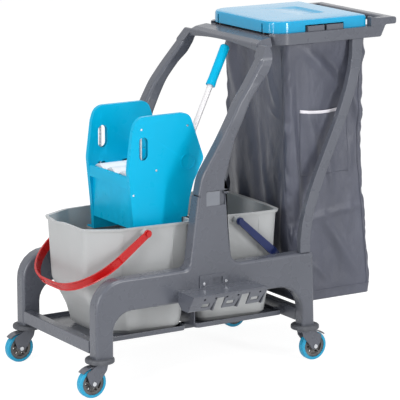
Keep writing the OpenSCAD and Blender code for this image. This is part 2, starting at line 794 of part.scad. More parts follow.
module axle(end, side) {
  cap = 3;
  color(steel) place_caster(end, side) {
    y_rod(trail, axle_z, axle_d, -fork_y - fork_t - cap, fork_y + fork_t + cap);
    both_sides() y_rod(trail, axle_z, axle_d + 5, -fork_y - fork_t - cap, -fork_y - fork_t);
  }
}

module hub(end, side) {
  lighten = 6;
  color([0.32, 0.33, 0.35]) place_caster(end, side) translate([trail, 0, axle_z]) rotate([90, 0, 0])
    difference() {
      rotate_extrude($fn = 64)
        polygon([[axle_d / 2 + run, -wheel_w / 2], [14, -wheel_w / 2], [14, -4], [hub_d / 2 - 5, -4],
                 [hub_d / 2 - 5, -wheel_w / 2 + 2], [hub_d / 2, -wheel_w / 2 + 2],
                 [hub_d / 2, wheel_w / 2 - 2], [hub_d / 2 - 5, wheel_w / 2 - 2],
                 [hub_d / 2 - 5, 4], [14, 4], [14, wheel_w / 2], [axle_d / 2 + run, wheel_w / 2]]);
      for (i = [0:lighten - 1]) rotate([0, 0, 360 * i / lighten])
        translate([(14 + hub_d / 2 - 5) / 2, 0, -6]) cylinder(d = 9, h = 12);
    }
}

module tyre(end, side) {
  color(cyan) place_caster(end, side) translate([trail, 0, axle_z]) rotate([90, 0, 0])
    rotate_extrude($fn = 96)
      polygon(rounded([[hub_d / 2, -wheel_w / 2, 1], [wheel_d / 2, -wheel_w / 2, 5], [wheel_d / 2, wheel_w / 2, 5],
                       [hub_d / 2, wheel_w / 2, 1]], 4));
}

// Buckets: two tapers in one shell, with a lip, bail studs and inner ledges
module bucket_slice(l, z, d) {
  front = l > rear_bucket_l;
  half = bucket_w / 2 - d;
  cut = front ? nose_cut + 0.5 * d : 2;
  nose = half - bucket_taper * (l - cut) / l;
  bow = front ? 0 : max(0.5, rear_bow - 1.1 * d);
  head = front ? [[-l / 2 + d, -nose + cut / 2, 24], [-l / 2 + d + cut * 0.96, -nose, 40]]
               : [[-l / 2 + d, -nose, 70 - d]];
  side = concat(head, [[l / 2 - d, -half, 26], [l / 2 - d + bow, -half + 110, 60]]);
  back = len(side) - 1;
  plan_profile(rounded(concat(side, [for (i = [back:-1:0]) [side[i][0], -side[i][1], side[i][2]]])), z, z + 0.5);
}

module bucket_form(l, wall, floor) {
  knee = bucket_h * 0.46;
  hull() {
    bucket_slice(l, bucket_h - 0.5 + wall, rim_lip - 3 + wall);
    bucket_slice(l, knee, rim_lip + 4 + wall);
  }
  hull() {
    bucket_slice(l, knee, rim_lip + 4 + wall);
    bucket_slice(l, floor + 14, bucket_draft - 2 + wall);
    bucket_slice(l, floor, bucket_draft + 10 + wall);
  }
}

module bucket_lip(l) {
  top = bucket_h - rest;
  difference() {
    hull() {
      bucket_slice(l, top - rim_lip, 1.5);
      bucket_slice(l, top - 0.5, 0);
    }
    hull() {
      bucket_slice(l, top - rim_lip - 1, rim_lip - 2);
      bucket_slice(l, top + 1, rim_lip - 2);
    }
  }
}

module bucket(x, l, pivot_x, ledges) {
  color(bucket_grey) translate([x, 0, tray_z + rest]) {
    difference() {
      union() {
        bucket_form(l, 0, 0);
        bucket_lip(l);
      }
      bucket_form(l, bucket_wall, bucket_wall);
      block([-l, -bucket_w, bucket_h - rest], [l, bucket_w, bucket_h + 10]);
    }
    both_sides() {
      y_rod(pivot_x - x, pivot_z - tray_z - rest, 24, -bucket_w / 2 - 2, -wall_y(l, pivot_x - x));
      y_rod(pivot_x - x, pivot_z - tray_z - rest, bail_stud_d, -stud_end, -bucket_w / 2 - 1);
      for (ledge = ledges) bucket_ledge(l, ledge);
    }
  }
}

// Middle of the side wall of a bucket, just below its rim
function wall_y(l, x) = bucket_w / 2 - bucket_taper * (l / 2 - x) / l - rim_lip + 1.2;

module bucket_ledge(l, x) {
  top = ledge_z - tray_z - 2 * rest;
  block([x, -wall_y(l, x) + 2.5, top - 24], [x + 18, -wringer_w / 2 - 3, top]);
}

// Bails: a flat band, drawn in the XY plane with its pivot at the origin
module bail(x, side, reach, drop, tint, bend) {
  half = bail_y + bail_t;
  outer = rounded([[0, -half, 0], [reach, -half, bend], [reach, half, bend], [0, half, 0]], 12);
  inner = rounded([[-1, -half + bail_t, 0], [reach - bail_t, -half + bail_t, bend - bail_t],
                   [reach - bail_t, half - bail_t, bend - bail_t], [-1, half - bail_t, 0]], 12);
  color(tint) translate([x, 0, pivot_z]) rotate([0, 0, side > 0 ? 0 : 180]) rotate([0, drop, 0])
    difference() {
      union() {
        difference() {
          plan_profile(outer, -bail_w / 2, bail_w / 2);
          plan_profile(inner, -bail_w, bail_w);
        }
        both_sides() y_rod(0, 0, bail_w + 4, -half, -half + bail_t);
      }
      both_sides() y_rod(0, 0, bail_stud_d + 2 * run, -half - 1, -half + bail_t + 1);
    }
}

// Wringer cheek outline, shared by covers and inner panels
function cheek_from(low) = [
  [wr_x + 9, low, 0], [wr_in, low, 0], [wr_in, rim_z + 3, 0],
  [shaft_x - 2, rim_z + 3, 4], [shaft_x + 6, rim_z + 60, 60], [shaft_x + 21, rim_z + 110, 40],
  [shaft_x + 57, shaft_z + 6, 24], [shaft_x + 5, rim_z + wringer_h, 34], [wr_x + 20, rim_z + wringer_h, 38],
  [wr_x + 5, rim_z + 278, 60], [wr_x - 10, rim_z + 165, 90], [wr_x + 5, rim_z + 9, 10]
];
cheek = cheek_from(ledge_z);
cover_edge = cheek_from(ledge_z + flange_t + rest);

// Gear sector tooth and rack tooth share a pitch, with play at the flanks
module teeth_arc(turn) {
  step = gear_pitch / gear_r * 180 / PI;
  for (i = [0:4])
    rotate([0, 0, 180 - i * step + turn])
      linear_extrude(height = gear_w)
        polygon([[gear_r - tooth_h, -3.6], [gear_r + tooth_h / 2 - 0.6, -1.6],
                 [gear_r + tooth_h / 2 - 0.6, 1.6], [gear_r - tooth_h, 3.6]]);
}

module sector_body() {
  root_r = gear_r - tooth_h / 2 - 0.6;
  arc = [for (i = [0:12]) root_r * [cos(192 - i * 7.5), sin(192 - i * 7.5)]];
  difference() {
    union() {
      cylinder(d = shaft_d + 14, h = gear_w);
      linear_extrude(height = gear_w) polygon(concat([[0, -8], [8, 6]], [for (p = arc) p]));
      teeth_arc(0);
    }
    translate([0, 0, -1]) cylinder(r = shaft_d / 2 + run, h = gear_w + 2);
  }
}

module gear_sectors() {
  color([0.55, 0.57, 0.60])
    for (y = [-gear_y, gear_y])
      translate([shaft_x, y + gear_w / 2, shaft_z]) rotate([90, 0, 0]) sector_body();
}

// Racks that the sectors drive down, each with an arm to the press plate
rack_teeth = 6;
rack_bottom = press_z;
rack_top = shaft_z + press_travel + 16;

module rack_bar_body() {
  face = rack_x - tooth_h / 2 - 0.6;
  difference() {
    union() {
      block([face - rack_bar, -gear_y - gear_w / 2, rack_bottom], [face, -gear_y + gear_w / 2, rack_top]);
      for (i = [0:rack_teeth - 1]) {
        z = shaft_z + gear_pitch * (i - 0.5);
        side_profile([[face - 1, z - 3.6], [face + tooth_h - 0.6, z - 1.5], [face + tooth_h - 0.6, z + 1.5],
                      [face - 1, z + 3.6]], -gear_y - gear_w / 2, -gear_y + gear_w / 2);
      }
    }
  }
}

module press_racks() {
  color([0.55, 0.57, 0.60]) both_sides() rack_bar_body();
}

// White press plate with ribs underneath, and ears that run on the guide rods
module press_plate() {
  half = panel_y - wringer_wall - 1;
  ribs = 7;
  color([0.92, 0.92, 0.92])
    difference() {
      union() {
        block([press_x0, -half, press_z + 8], [press_x1, half, press_z + press_h]);
        for (i = [0:ribs - 1]) {
          y = -half + 8 + i * (2 * half - 16) / (ribs - 1);
          block([press_x0, y - 5, press_z], [press_x1, y + 5, press_z + 9]);
        }
        both_sides() {
          block([rod_x - 11, -cavity_y, press_z], [rod_x + 11, -half + 1, press_z + press_h]);
          block([rack_x - 30, -cavity_y, press_z + 2],
                [rack_x - tooth_h / 2 - 0.6 - rack_bar, -half + 1, press_z + press_h]);
        }
      }
      for (y = [-gear_y, gear_y])
        translate([rod_x, y, press_z - 1]) cylinder(r = rod_d / 2 + run, h = press_h + 2);
    }
}

module guide_rods() {
  color(steel)
    for (y = [-gear_y, gear_y])
      translate([rod_x, y, basket_z + 20]) cylinder(d = rod_d, h = rod_top - basket_z - 20);
}

module slot_space(x, y0, y1) {
  side_profile(rounded(box_corners([slot_x - slot_w / 2, slot_z - slot_h / 2],
                                   [slot_x + slot_w / 2, slot_z + slot_h / 2], slot_w / 2 - 0.5), 8), y0, y1);
}

// Basket: inner panels, front band and panel, rear wall, drain floor, side flanges
module wringer_frame() {
  drains = 8;
  inner = panel_y - wringer_wall;
  band_x = wr_x - 5.5;
  front_x = wr_x + 7.5;
  rear_x = shaft_x - 32;
  play = 2;
  color(cyan)
    difference() {
      union() {
        both_sides() {
          side_profile(rounded(cheek), -panel_y, -inner);
          block([wr_x + 9, -flange_y, ledge_z], [wr_in, -inner, ledge_z + flange_t]);
          rod_seat(basket_z + 20);
          rod_seat(rod_top - 10);
        }
        block([band_x, -inner - 1, band_z], [band_x + 10, inner + 1, band_z + band_h]);
        block([band_x, -inner - 1, band_z], [front_x + wringer_wall, inner + 1, band_z + 4]);
        block([front_x, -inner - 1, rim_z - 19], [front_x + wringer_wall, inner + 1, band_z + 4]);
        block([rear_x, -inner - 1, basket_z], [rear_x + wringer_wall, inner + 1, shaft_z + 8]);
        block([front_x, -inner - 1, basket_z - 2], [rear_x + wringer_wall, inner + 1, basket_z + 2]);
      }
      both_sides() {
        slot_space(slot_x, -panel_y - 1, -inner + 1);
        block([rod_x - 13, -panel_y - 1, press_z - press_travel - play],
              [rod_x + 13, -inner + 1, press_z + press_h + play]);
        block([rack_x - 32, -panel_y - 1, press_z - press_travel - play],
              [rack_x - 13, -inner + 1, press_z + press_h + play]);
        y_rod(shaft_x, shaft_z, shaft_d + 2 * run, -panel_y - 1, -inner + 1);
      }
      for (i = [0:drains - 1]) {
        y = -inner + 12 + i * (2 * inner - 24) / (drains - 1);
        block([front_x + 14, y - 5, basket_z - 3], [rear_x - 12, y + 5, basket_z + 3]);
      }
    }
}

// Seat that holds an end of a guide rod, reaching out from the inner panel
module rod_seat(z) {
  difference() {
    block([rod_x - 8, -cavity_y, z], [rod_x + 8, -panel_y + 1, z + 10]);
    translate([rod_x, -gear_y, z - 1]) cylinder(r = rod_d / 2 + run, h = 12);
  }
}

cover_screw_at = [
  [wr_x + 7.5, rim_z + 87], [wr_x + 36.5, rim_z + 285], [wr_x + 87.5, rim_z + 156], [shaft_x - 1, rim_z + 283]
];

// Side cover: a tray-shaped shell over the mechanism, with screw bosses and a pivot rim
module wringer_cover(side) {
  face = -wringer_w / 2;
  color(cyan) on_side(side)
    difference() {
      union() {
        difference() {
          side_profile(rounded(cover_edge), face, -panel_y);
          side_profile(rounded(inset(cover_edge, wringer_wall)), face + wringer_wall, -panel_y + 1);
        }
        intersection() {
          side_profile(rounded(cover_edge), face, -panel_y);
          for (p = cover_screw_at) y_rod(p[0], p[1], 9, face + 1, -panel_y);
        }
        y_rod(shaft_x, shaft_z, shaft_d + 38, face - 1.2, face + 1);
      }
      y_rod(shaft_x, shaft_z, shaft_d + 30, face - 2, face);
      slot_space(slot_x, face - 1, -panel_y + 1);
      for (p = cover_screw_at) {
        y_rod(p[0], p[1], 4.1, face - 1, -panel_y + 1);
        y_rod(p[0], p[1], 7.4, face - 1, face + 2.2);
      }
    }
}

module cover_screws() {
  face = -wringer_w / 2;
  color(steel)
    both_sides()
      for (p = cover_screw_at) {
        y_rod(p[0], p[1], 7, face + 0.6, face + 2.2);
        y_rod(p[0], p[1], 4, face + 1, -panel_y - 1);
      }
}

// Lever: shaft across both cheeks, hub, leaning tube and grip
module lever_shaft() {
  reach = wringer_w / 2 - wringer_wall - 0.5;
  color(steel) y_rod(shaft_x, shaft_z, shaft_d, -reach, reach);
}

module along_lever() {
  translate([shaft_x, lever_y, shaft_z]) rotate([0, lever_tilt, 0]) rotate([-lever_lean, 0, 0]) children();
}

module lever_hub() {
  color([0.0, 0.55, 0.72])
    difference() {
      union() {
        y_rod(shaft_x, shaft_z, shaft_d + 16, lever_y - hub_w / 2, lever_y + hub_w / 2);
        along_lever() cylinder(d = tube_d + 8, h = 62);
      }
      y_rod(shaft_x, shaft_z, shaft_d + 2 * run, lever_y - 40, lever_y + 40);
      along_lever() translate([0, 0, 16]) cylinder(r = tube_d / 2 + run, h = 60);
    }
}

module lever_tube() {
  wall = 2;
  color([0.88, 0.88, 0.88]) along_lever()
    difference() {
      translate([0, 0, 16]) cylinder(d = tube_d, h = lever_l - 24);
      translate([0, 0, 15]) cylinder(d = tube_d - 2 * wall, h = lever_l);
    }
}

module lever_grip() {
  color(cyan) along_lever()
    difference() {
      translate([0, 0, lever_l - grip_len])
        rotate_extrude()
          polygon(rounded([[0, 0, 0], [grip_d / 2 + 0.5, 0, 2], [grip_d / 2 - 1, 22, 0], [grip_d / 2, grip_len, 9],
                           [0, grip_len, 0]], 5));
      translate([0, 0, lever_l - grip_len - 1]) cylinder(r = tube_d / 2 + run, h = grip_len - 6.7);
    }
}

side_frame(-1);  // side_frame_left
side_frame(1);  // side_frame_right
cross_beam(front_leg_x);  // front_cross_beam
cross_beam(rear_cross_x);  // rear_cross_beam
base_rails();
tray(front_tray_x0, front_tray_x1, 0);  // front_tray
tray(rear_tray_x0, rear_tray_x1, divider_h);  // rear_tray
arm(-1);  // arm_left
arm(1);  // arm_right
column_latches();
top_yoke();
bag_ring();
strut(-1);  // strut_left
strut(1);  // strut_right
bag_clips();
bag();
lid();
lid_pin();
tool_rack();
rack_screws();
bumper_discs();
swivel_races();
fork(-1, -1);  // front_left_fork
axle(-1, -1);  // front_left_axle
hub(-1, -1);  // front_left_hub
tyre(-1, -1);  // front_left_tyre
fork(-1, 1);  // front_right_fork
axle(-1, 1);  // front_right_axle
hub(-1, 1);  // front_right_hub
tyre(-1, 1);  // front_right_tyre
fork(1, -1);  // rear_left_fork
axle(1, -1);  // rear_left_axle
hub(1, -1);  // rear_left_hub
tyre(1, -1);  // rear_left_tyre
fork(1, 1);  // rear_right_fork
axle(1, 1);  // rear_right_axle
hub(1, 1);  // rear_right_hub
tyre(1, 1);  // rear_right_tyre
bucket(front_bucket_x, front_bucket_l, front_pivot_x, [-4, 100]);  // front_bucket
bucket(rear_bucket_x, rear_bucket_l, rear_pivot_x, []);  // rear_bucket
bail(front_pivot_x, -1, front_bail_reach, front_bail_drop, [0.88, 0.22, 0.20], 165);  // front_bail
bail(rear_pivot_x, 1, rear_bail_reach, rear_bail_drop, [0.13, 0.20, 0.38], 60);  // rear_bail
wringer_frame();
wringer_cover(-1);  // wringer_cover_left
wringer_cover(1);  // wringer_cover_right
cover_screws();
press_plate();
press_racks();
guide_rods();
lever_shaft();
gear_sectors();
lever_hub();
lever_tube();
lever_grip();
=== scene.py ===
import json
import math
import bpy
import numpy as np
from mathutils import Matrix, Vector, noise

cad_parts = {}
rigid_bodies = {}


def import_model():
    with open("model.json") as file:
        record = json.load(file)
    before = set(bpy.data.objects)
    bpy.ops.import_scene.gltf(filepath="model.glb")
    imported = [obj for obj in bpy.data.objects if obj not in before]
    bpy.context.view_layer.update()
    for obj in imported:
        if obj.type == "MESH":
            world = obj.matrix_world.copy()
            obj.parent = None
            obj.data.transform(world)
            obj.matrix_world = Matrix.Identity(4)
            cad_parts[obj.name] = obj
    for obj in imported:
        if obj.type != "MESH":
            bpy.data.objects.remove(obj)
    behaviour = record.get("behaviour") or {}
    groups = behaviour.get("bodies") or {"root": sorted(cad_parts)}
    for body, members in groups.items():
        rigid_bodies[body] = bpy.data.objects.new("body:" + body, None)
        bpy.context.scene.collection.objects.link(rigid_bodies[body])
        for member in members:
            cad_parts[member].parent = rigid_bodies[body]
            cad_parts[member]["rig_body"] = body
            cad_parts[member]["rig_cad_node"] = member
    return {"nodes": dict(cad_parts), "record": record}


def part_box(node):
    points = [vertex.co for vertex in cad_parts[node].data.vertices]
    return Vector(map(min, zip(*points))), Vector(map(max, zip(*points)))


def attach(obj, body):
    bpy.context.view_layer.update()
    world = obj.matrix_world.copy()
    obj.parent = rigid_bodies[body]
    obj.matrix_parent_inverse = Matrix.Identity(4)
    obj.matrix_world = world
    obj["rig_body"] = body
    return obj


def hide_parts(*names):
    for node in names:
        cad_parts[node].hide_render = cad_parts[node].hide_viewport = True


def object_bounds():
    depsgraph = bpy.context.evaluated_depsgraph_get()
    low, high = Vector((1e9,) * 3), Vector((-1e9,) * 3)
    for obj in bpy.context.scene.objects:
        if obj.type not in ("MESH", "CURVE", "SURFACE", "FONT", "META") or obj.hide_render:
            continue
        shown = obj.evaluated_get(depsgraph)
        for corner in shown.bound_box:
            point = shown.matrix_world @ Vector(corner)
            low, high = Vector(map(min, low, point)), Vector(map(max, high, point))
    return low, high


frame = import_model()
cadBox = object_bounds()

record = frame["record"]
bodyOf = {node: body for body, nodes in record["behaviour"]["bodies"].items() for node in nodes}
slotOf = {part["node"]: part["material_slot"] for part in record["subparts"]}
mm = 0.001


def note(text):
    print("cart:", text)


# Finishes: one maker for each kind of surface
def linear(colour):
    # 0..255 as seen on screen, to the values that the shader takes
    shares = [c / 255 for c in colour]
    return tuple(s / 12.92 if s <= 0.04 else ((s + 0.055) / 1.055) ** 2.4 for s in shares) + (1.0,)


def addNode(tree, kind, where, **values):
    node = tree.nodes.new(kind)
    node.location = where
    for key, value in values.items():
        if key in node.inputs:
            node.inputs[key].default_value = value
        else:
            setattr(node, key, value)
    return node


def newFinish(name):
    finish = bpy.data.materials.new(name)
    finish.use_nodes = True
    tree = finish.node_tree
    shader = tree.nodes["Principled BSDF"]
    coords = addNode(tree, "ShaderNodeTexCoord", (-1400, 0))
    return finish, tree, shader, coords


def addNoise(tree, source, size, detail=3.0, stretch=(1, 1, 1), where=(-1000, 0)):
    mapping = addNode(tree, "ShaderNodeMapping", (where[0] - 200, where[1]))
    mapping.inputs["Scale"].default_value = stretch
    cloud = addNode(tree, "ShaderNodeTexNoise", where)
    cloud.inputs["Scale"].default_value = 1 / size
    cloud.inputs["Detail"].default_value = detail
    tree.links.new(source, mapping.inputs["Vector"])
    tree.links.new(mapping.outputs["Vector"], cloud.inputs["Vector"])
    return cloud.outputs["Fac"]


def remap(tree, value, lowIn, highIn, lowOut, highOut, where=(-700, 0)):
    node = addNode(tree, "ShaderNodeMapRange", where)
    for key, number in zip(("From Min", "From Max", "To Min", "To Max"), (lowIn, highIn, lowOut, highOut)):
        node.inputs[key].default_value = number
    tree.links.new(value, node.inputs["Value"])
    return node.outputs["Result"]


def mixColour(tree, fac, first, second, where=(-400, 0)):
    node = addNode(tree, "ShaderNodeMix", where, data_type="RGBA")
    for socket, value in ((node.inputs["Factor"], fac), (node.inputs[6], first), (node.inputs[7], second)):
        if isinstance(value, bpy.types.NodeSocket):
            tree.links.new(value, socket)
        else:
            socket.default_value = value
    return node.outputs[2]


def multiply(tree, first, second, where=(-550, 0)):
    node = addNode(tree, "ShaderNodeMath", where, operation="MULTIPLY")
    tree.links.new(first, node.inputs[0])
    if isinstance(second, bpy.types.NodeSocket):
        tree.links.new(second, node.inputs[1])
    else:
        node.inputs[1].default_value = second
    return node.outputs[0]


def addBump(tree, shader, height, strength, distance, where=(-300, -400), under=None):
    bump = addNode(tree, "ShaderNodeBump", where)
    bump.inputs["Strength"].default_value = strength
    bump.inputs["Distance"].default_value = distance
    tree.links.new(height, bump.inputs["Height"])
    if under is not None:
        tree.links.new(under, bump.inputs["Normal"])
    tree.links.new(bump.outputs["Normal"], shader.inputs["Normal"])
    return bump.outputs["Normal"]


noiseSpan = (0.3, 0.7)  # where most of a noise lies
usualMoulding = {
    "mottle": 0.07, "cloudSize": 90 * mm, "cloudStretch": (1, 1, 0.6),
    "rubbed": 26, "wear": 0.5, "edgeFrom": 0.53, "edgeTo": 0.62,
    "patchSize": 30 * mm, "patchFrom": 0.4, "patchTo": 0.65, "patchLeast": 0.2,
    "scuffs": 0.25, "scuffSize": 12 * mm, "scuffStretch": (0.25, 0.25, 2.2),
    "scuffFrom": 0.68, "scuffTo": 0.78,
    "dust": 0.12, "dustFoot": 20 * mm, "dustTop": 0.3, "dustColour": (164, 158, 150),
    "shine": 0.5, "refraction": 1.49, "coat": 0.0, "coatRough": 0.12, "glossSize": 50 * mm,
    "glossier": 0.04, "duller": 0.05, "grain": 0.18, "grainSize": 1.1 * mm, "grainDeep": 0.2 * mm,
    "wave": 0.25, "waveSize": 160 * mm, "waveDeep": 2 * mm,
}


def moulded(name, own):
    # Injection-moulded plastic: fine sparked grain, faint flow marks, edges lightened partly as wear and
    # partly as a painted highlight, dust low down
    look = {**usualMoulding, **own}
    finish, tree, shader, coords = newFinish(name)
    place = coords.outputs["Object"]
    base = linear(look["colour"])
    # Lighter colour for worn edges and scuffs, and for the painted edge highlight
    light = linear([min(255, c + look["rubbed"]) for c in look["colour"]])
    dark = tuple(c * (1 - look["mottle"]) for c in base[:3]) + (1.0,)
    cloud = addNoise(tree, place, look["cloudSize"], 4, look["cloudStretch"], (-1000, 500))
    colour = mixColour(tree, remap(tree, cloud, *noiseSpan, 0, 1), base, dark, (-500, 500))
    shape = addNode(tree, "ShaderNodeNewGeometry", (-1400, 300))
    # Edges lighter by pointiness: partly worn edges, partly a painted highlight along the edges
    edge = remap(tree, shape.outputs["Pointiness"], look["edgeFrom"], look["edgeTo"], 0, look["wear"],
                 (-800, 300))
    cloud = addNoise(tree, place, look["patchSize"], 5, where=(-1000, 250))
    patch = remap(tree, cloud, look["patchFrom"], look["patchTo"], look["patchLeast"], 1)
    colour = mixColour(tree, multiply(tree, edge, patch), colour, light, (-350, 400))
    scuff = addNoise(tree, place, look["scuffSize"], 2, look["scuffStretch"], (-1000, 0))
    scuffs = remap(tree, scuff, look["scuffFrom"], look["scuffTo"], 0, look["scuffs"])
    colour = mixColour(tree, scuffs, colour, light, (-200, 400))
    height = addNode(tree, "ShaderNodeSeparateXYZ", (-1200, 800))
    tree.links.new(place, height.inputs[0])
    low = remap(tree, height.outputs["Z"], look["dustFoot"], look["dustTop"], look["dust"], 0, (-800, 800))
    colour = mixColour(tree, multiply(tree, low, patch), colour, linear(look["dustColour"]), (-100, 500))
    tree.links.new(colour, shader.inputs["Base Color"])
    gloss = addNoise(tree, place, look["glossSize"], 3, where=(-1000, -200))
    rough = remap(tree, gloss, *noiseSpan, look["rough"] - look["glossier"], look["rough"] + look["duller"],
                  (-600, -200))
    tree.links.new(rough, shader.inputs["Roughness"])
    shader.inputs["IOR"].default_value = look["refraction"]
    shader.inputs["Specular IOR Level"].default_value = look["shine"]
    shader.inputs["Coat Weight"].default_value = look["coat"]
    shader.inputs["Coat Roughness"].default_value = look["coatRough"]
    grain = addNoise(tree, place, look["grainSize"], 2, where=(-1000, -500))
    fine = addBump(tree, shader, grain, look["grain"], look["grainDeep"])
    wave = addNoise(tree, place, look["waveSize"], 1, where=(-1000, -700))
    addBump(tree, shader, wave, look["wave"], look["waveDeep"], (-150, -500), fine)
    return finish


usualMetal = {"metallic": 1.0, "stainSize": 6 * mm, "stainFrom": 0.45, "stainTo": 0.8, "stain": 0.6,
              "tint": 0.9, "lineSize": 2 * mm, "lines": (1, 1, 0.06), "smoother": 0.05, "rougher": 0.07,
              "lineBump": 0.12, "lineDeep": 0.1 * mm}


def metal(name, own):
    # Drawn or plated steel: fine lines along the part and small stains
    look = {**usualMetal, **own}
    finish, tree, shader, coords = newFinish(name)
    place = coords.outputs["Object"]
    cloud = addNoise(tree, place, look["stainSize"], 5, where=(-1000, 300))
    stain = remap(tree, cloud, look["stainFrom"], look["stainTo"], 0, look["stain"])
    tint = linear([c * look["tint"] for c in look["colour"]])
    tree.links.new(mixColour(tree, stain, linear(look["colour"]), tint), shader.inputs["Base Color"])
    shader.inputs["Metallic"].default_value = look["metallic"]
    lines = addNoise(tree, place, look["lineSize"], 2, look["lines"], (-1000, -100))
    rough = remap(tree, lines, *noiseSpan, look["rough"] - look["smoother"], look["rough"] + look["rougher"])
    tree.links.new(rough, shader.inputs["Roughness"])
    addBump(tree, shader, lines, look["lineBump"], look["lineDeep"])
    return finish


usualRubber = {"film": 0.25, "filmSize": 10 * mm, "filmFrom": 0.42, "filmTo": 0.72,
               "filmColour": (120, 122, 124), "roughSize": 6 * mm, "rougher": 0.15,
               "grain": 0.25, "grainSize": 1.6 * mm, "grainDeep": 0.3 * mm}


def rubber(name, own):
    # Cast polyurethane or rubber: matt, with a picked-up grey film
    look = {**usualRubber, **own}
    finish, tree, shader, coords = newFinish(name)
    place = coords.outputs["Object"]
    cloud = addNoise(tree, place, look["filmSize"], 6, where=(-1000, 300))
    film = remap(tree, cloud, look["filmFrom"], look["filmTo"], 0, look["film"])
    colour = mixColour(tree, film, linear(look["colour"]), linear(look["filmColour"]))
    tree.links.new(colour, shader.inputs["Base Color"])
    cloud = addNoise(tree, place, look["roughSize"], 4, where=(-1000, 0))
    rough = remap(tree, cloud, *noiseSpan, look["rough"], look["rough"] + look["rougher"])
    tree.links.new(rough, shader.inputs["Roughness"])
    grain = addNoise(tree, place, look["grainSize"], 3, where=(-1000, -300))
    addBump(tree, shader, grain, look["grain"], look["grainDeep"])
    return finish


usualWeave = {"distortion": 0.6, "threadDetail": 3, "shadeSize": 70 * mm, "shadeStretch": (1, 1, 0.5),
              "shade": 0.93, "gap": 0.8, "gapShare": 0.35, "roughSize": 40 * mm, "rougher": 0.1,
              "sheenRough": 0.35, "threadBump": 0.35, "threadDeep": 0.3 * mm, "creaseSize": 35 * mm,
              "creaseStretch": (1, 1, 0.55), "creaseDeep": 4 * mm}


def woven(name, own):
    # Coated polyester: plain weave on the piece's own map, soft sheen, small creases
    look = {**usualWeave, **own}
    finish, tree, shader, coords = newFinish(name)
    flat, place = coords.outputs["UV"], coords.outputs["Object"]
    threads = []
    for index, direction in enumerate(("X", "Y")):
        wave = addNode(tree, "ShaderNodeTexWave", (-1000, -300 - 250 * index), bands_direction=direction)
        wave.inputs["Scale"].default_value = look["threads"] / (2 * math.pi)
        wave.inputs["Distortion"].default_value = look["distortion"]
        wave.inputs["Detail Scale"].default_value = look["threadDetail"]
        tree.links.new(flat, wave.inputs["Vector"])
        threads.append(wave.outputs["Fac"])
    weave = multiply(tree, threads[0], threads[1], (-700, -300))
    cloud = addNoise(tree, place, look["shadeSize"], 5, look["shadeStretch"], (-1000, 500))
    darker = linear([c * look["shade"] for c in look["colour"]])
    colour = mixColour(tree, remap(tree, cloud, *noiseSpan, 0, 1), linear(look["colour"]), darker)
    grey = linear([c * look["gap"] for c in look["colour"]])
    colour = mixColour(tree, multiply(tree, weave, look["gapShare"]), colour, grey, (-250, 300))
    tree.links.new(colour, shader.inputs["Base Color"])
    cloud = addNoise(tree, place, look["roughSize"], 4, where=(-1000, 100))
    rough = remap(tree, cloud, *noiseSpan, look["rough"], look["rough"] + look["rougher"])
    tree.links.new(rough, shader.inputs["Roughness"])
    shader.inputs["Sheen Weight"].default_value = look["sheen"]
    shader.inputs["Sheen Roughness"].default_value = look["sheenRough"]
    fine = addBump(tree, shader, weave, look["threadBump"], look["threadDeep"])
    crease = addNoise(tree, place, look["creaseSize"], 6, look["creaseStretch"], (-1000, -900))
    addBump(tree, shader, crease, look["crease"], look["creaseDeep"], (-150, -500), fine)
    return finish


finishes = {
    "chassis_plastic": moulded("chassisPlastic", {
        "colour": (85, 88, 97), "rough": 0.28, "rubbed": 22, "scuffs": 0.0, "wear": 0.0, "dust": 0.0,
        "grain": 0.05}),
    "latch_plastic": moulded("latchPlastic", {"colour": (108, 112, 120), "rough": 0.42, "rubbed": 18}),
    "cyan_plastic": moulded("cyanPlastic", {
        "colour": (0, 170, 212), "rough": 0.3, "shine": 0.12, "rubbed": 30, "mottle": 0.04, "grain": 0.08,
        "dust": 0.03, "wear": 0.3, "scuffs": 0.1}),
    "bucket_plastic": moulded("bucketPlastic", {
        "colour": (168, 170, 171), "rough": 0.36, "rubbed": 16, "mottle": 0.05, "dust": 0.1, "scuffs": 0.2}),
    "red_plastic": moulded("redPlastic", {
        "colour": (178, 14, 16), "rough": 0.26, "shine": 0.4, "rubbed": 26, "grain": 0.08}),
    "navy_plastic": moulded("navyPlastic", {
        "colour": (22, 36, 84), "rough": 0.3, "shine": 0.3, "rubbed": 30, "grain": 0.08}),
    "white_plastic": moulded("whitePlastic", {
        "colour": (232, 234, 236), "rough": 0.35, "rubbed": 10, "mottle": 0.03, "dust": 0.0}),
    "hub_plastic": moulded("hubPlastic", {
        "colour": (50, 52, 57), "rough": 0.42, "dust": 0.3, "dustTop": 0.12}),
    "bumper_rubber": rubber("bumperRubber", {"colour": (70, 72, 78), "rough": 0.6}),
    "blue_tyre": rubber("blueTyre", {"colour": (4, 150, 190), "rough": 0.42, "film": 0.12}),
    "bag_fabric": woven("bagFabric", {
        "colour": (77, 80, 94), "rough": 0.34, "sheen": 0.1, "threads": 2600, "crease": 0.8}),
    "lever_metal": metal("leverMetal", {"colour": (222, 220, 222), "rough": 0.3, "metallic": 0.35}),
    "bright_steel": metal("brightSteel", {"colour": (196, 198, 202), "rough": 0.28}),
}
note("finishes made")


# How a copy of a CAD solid is cleaned, and which of its edges count as corners
meshLook = {"merge": 0.02 * mm, "flatAngle": 0.8, "cornerAngle": 50, "faceWeight": 60}


def pick(piece):
    bpy.ops.object.select_all(action="DESELECT")
    piece.select_set(True)
    bpy.context.view_layer.objects.active = piece


def editing(piece):
    pick(piece)
    bpy.ops.object.mode_set(mode="EDIT")
    bpy.ops.mesh.select_all(action="SELECT")


def closeEdit():
    bpy.ops.object.mode_set(mode="OBJECT")


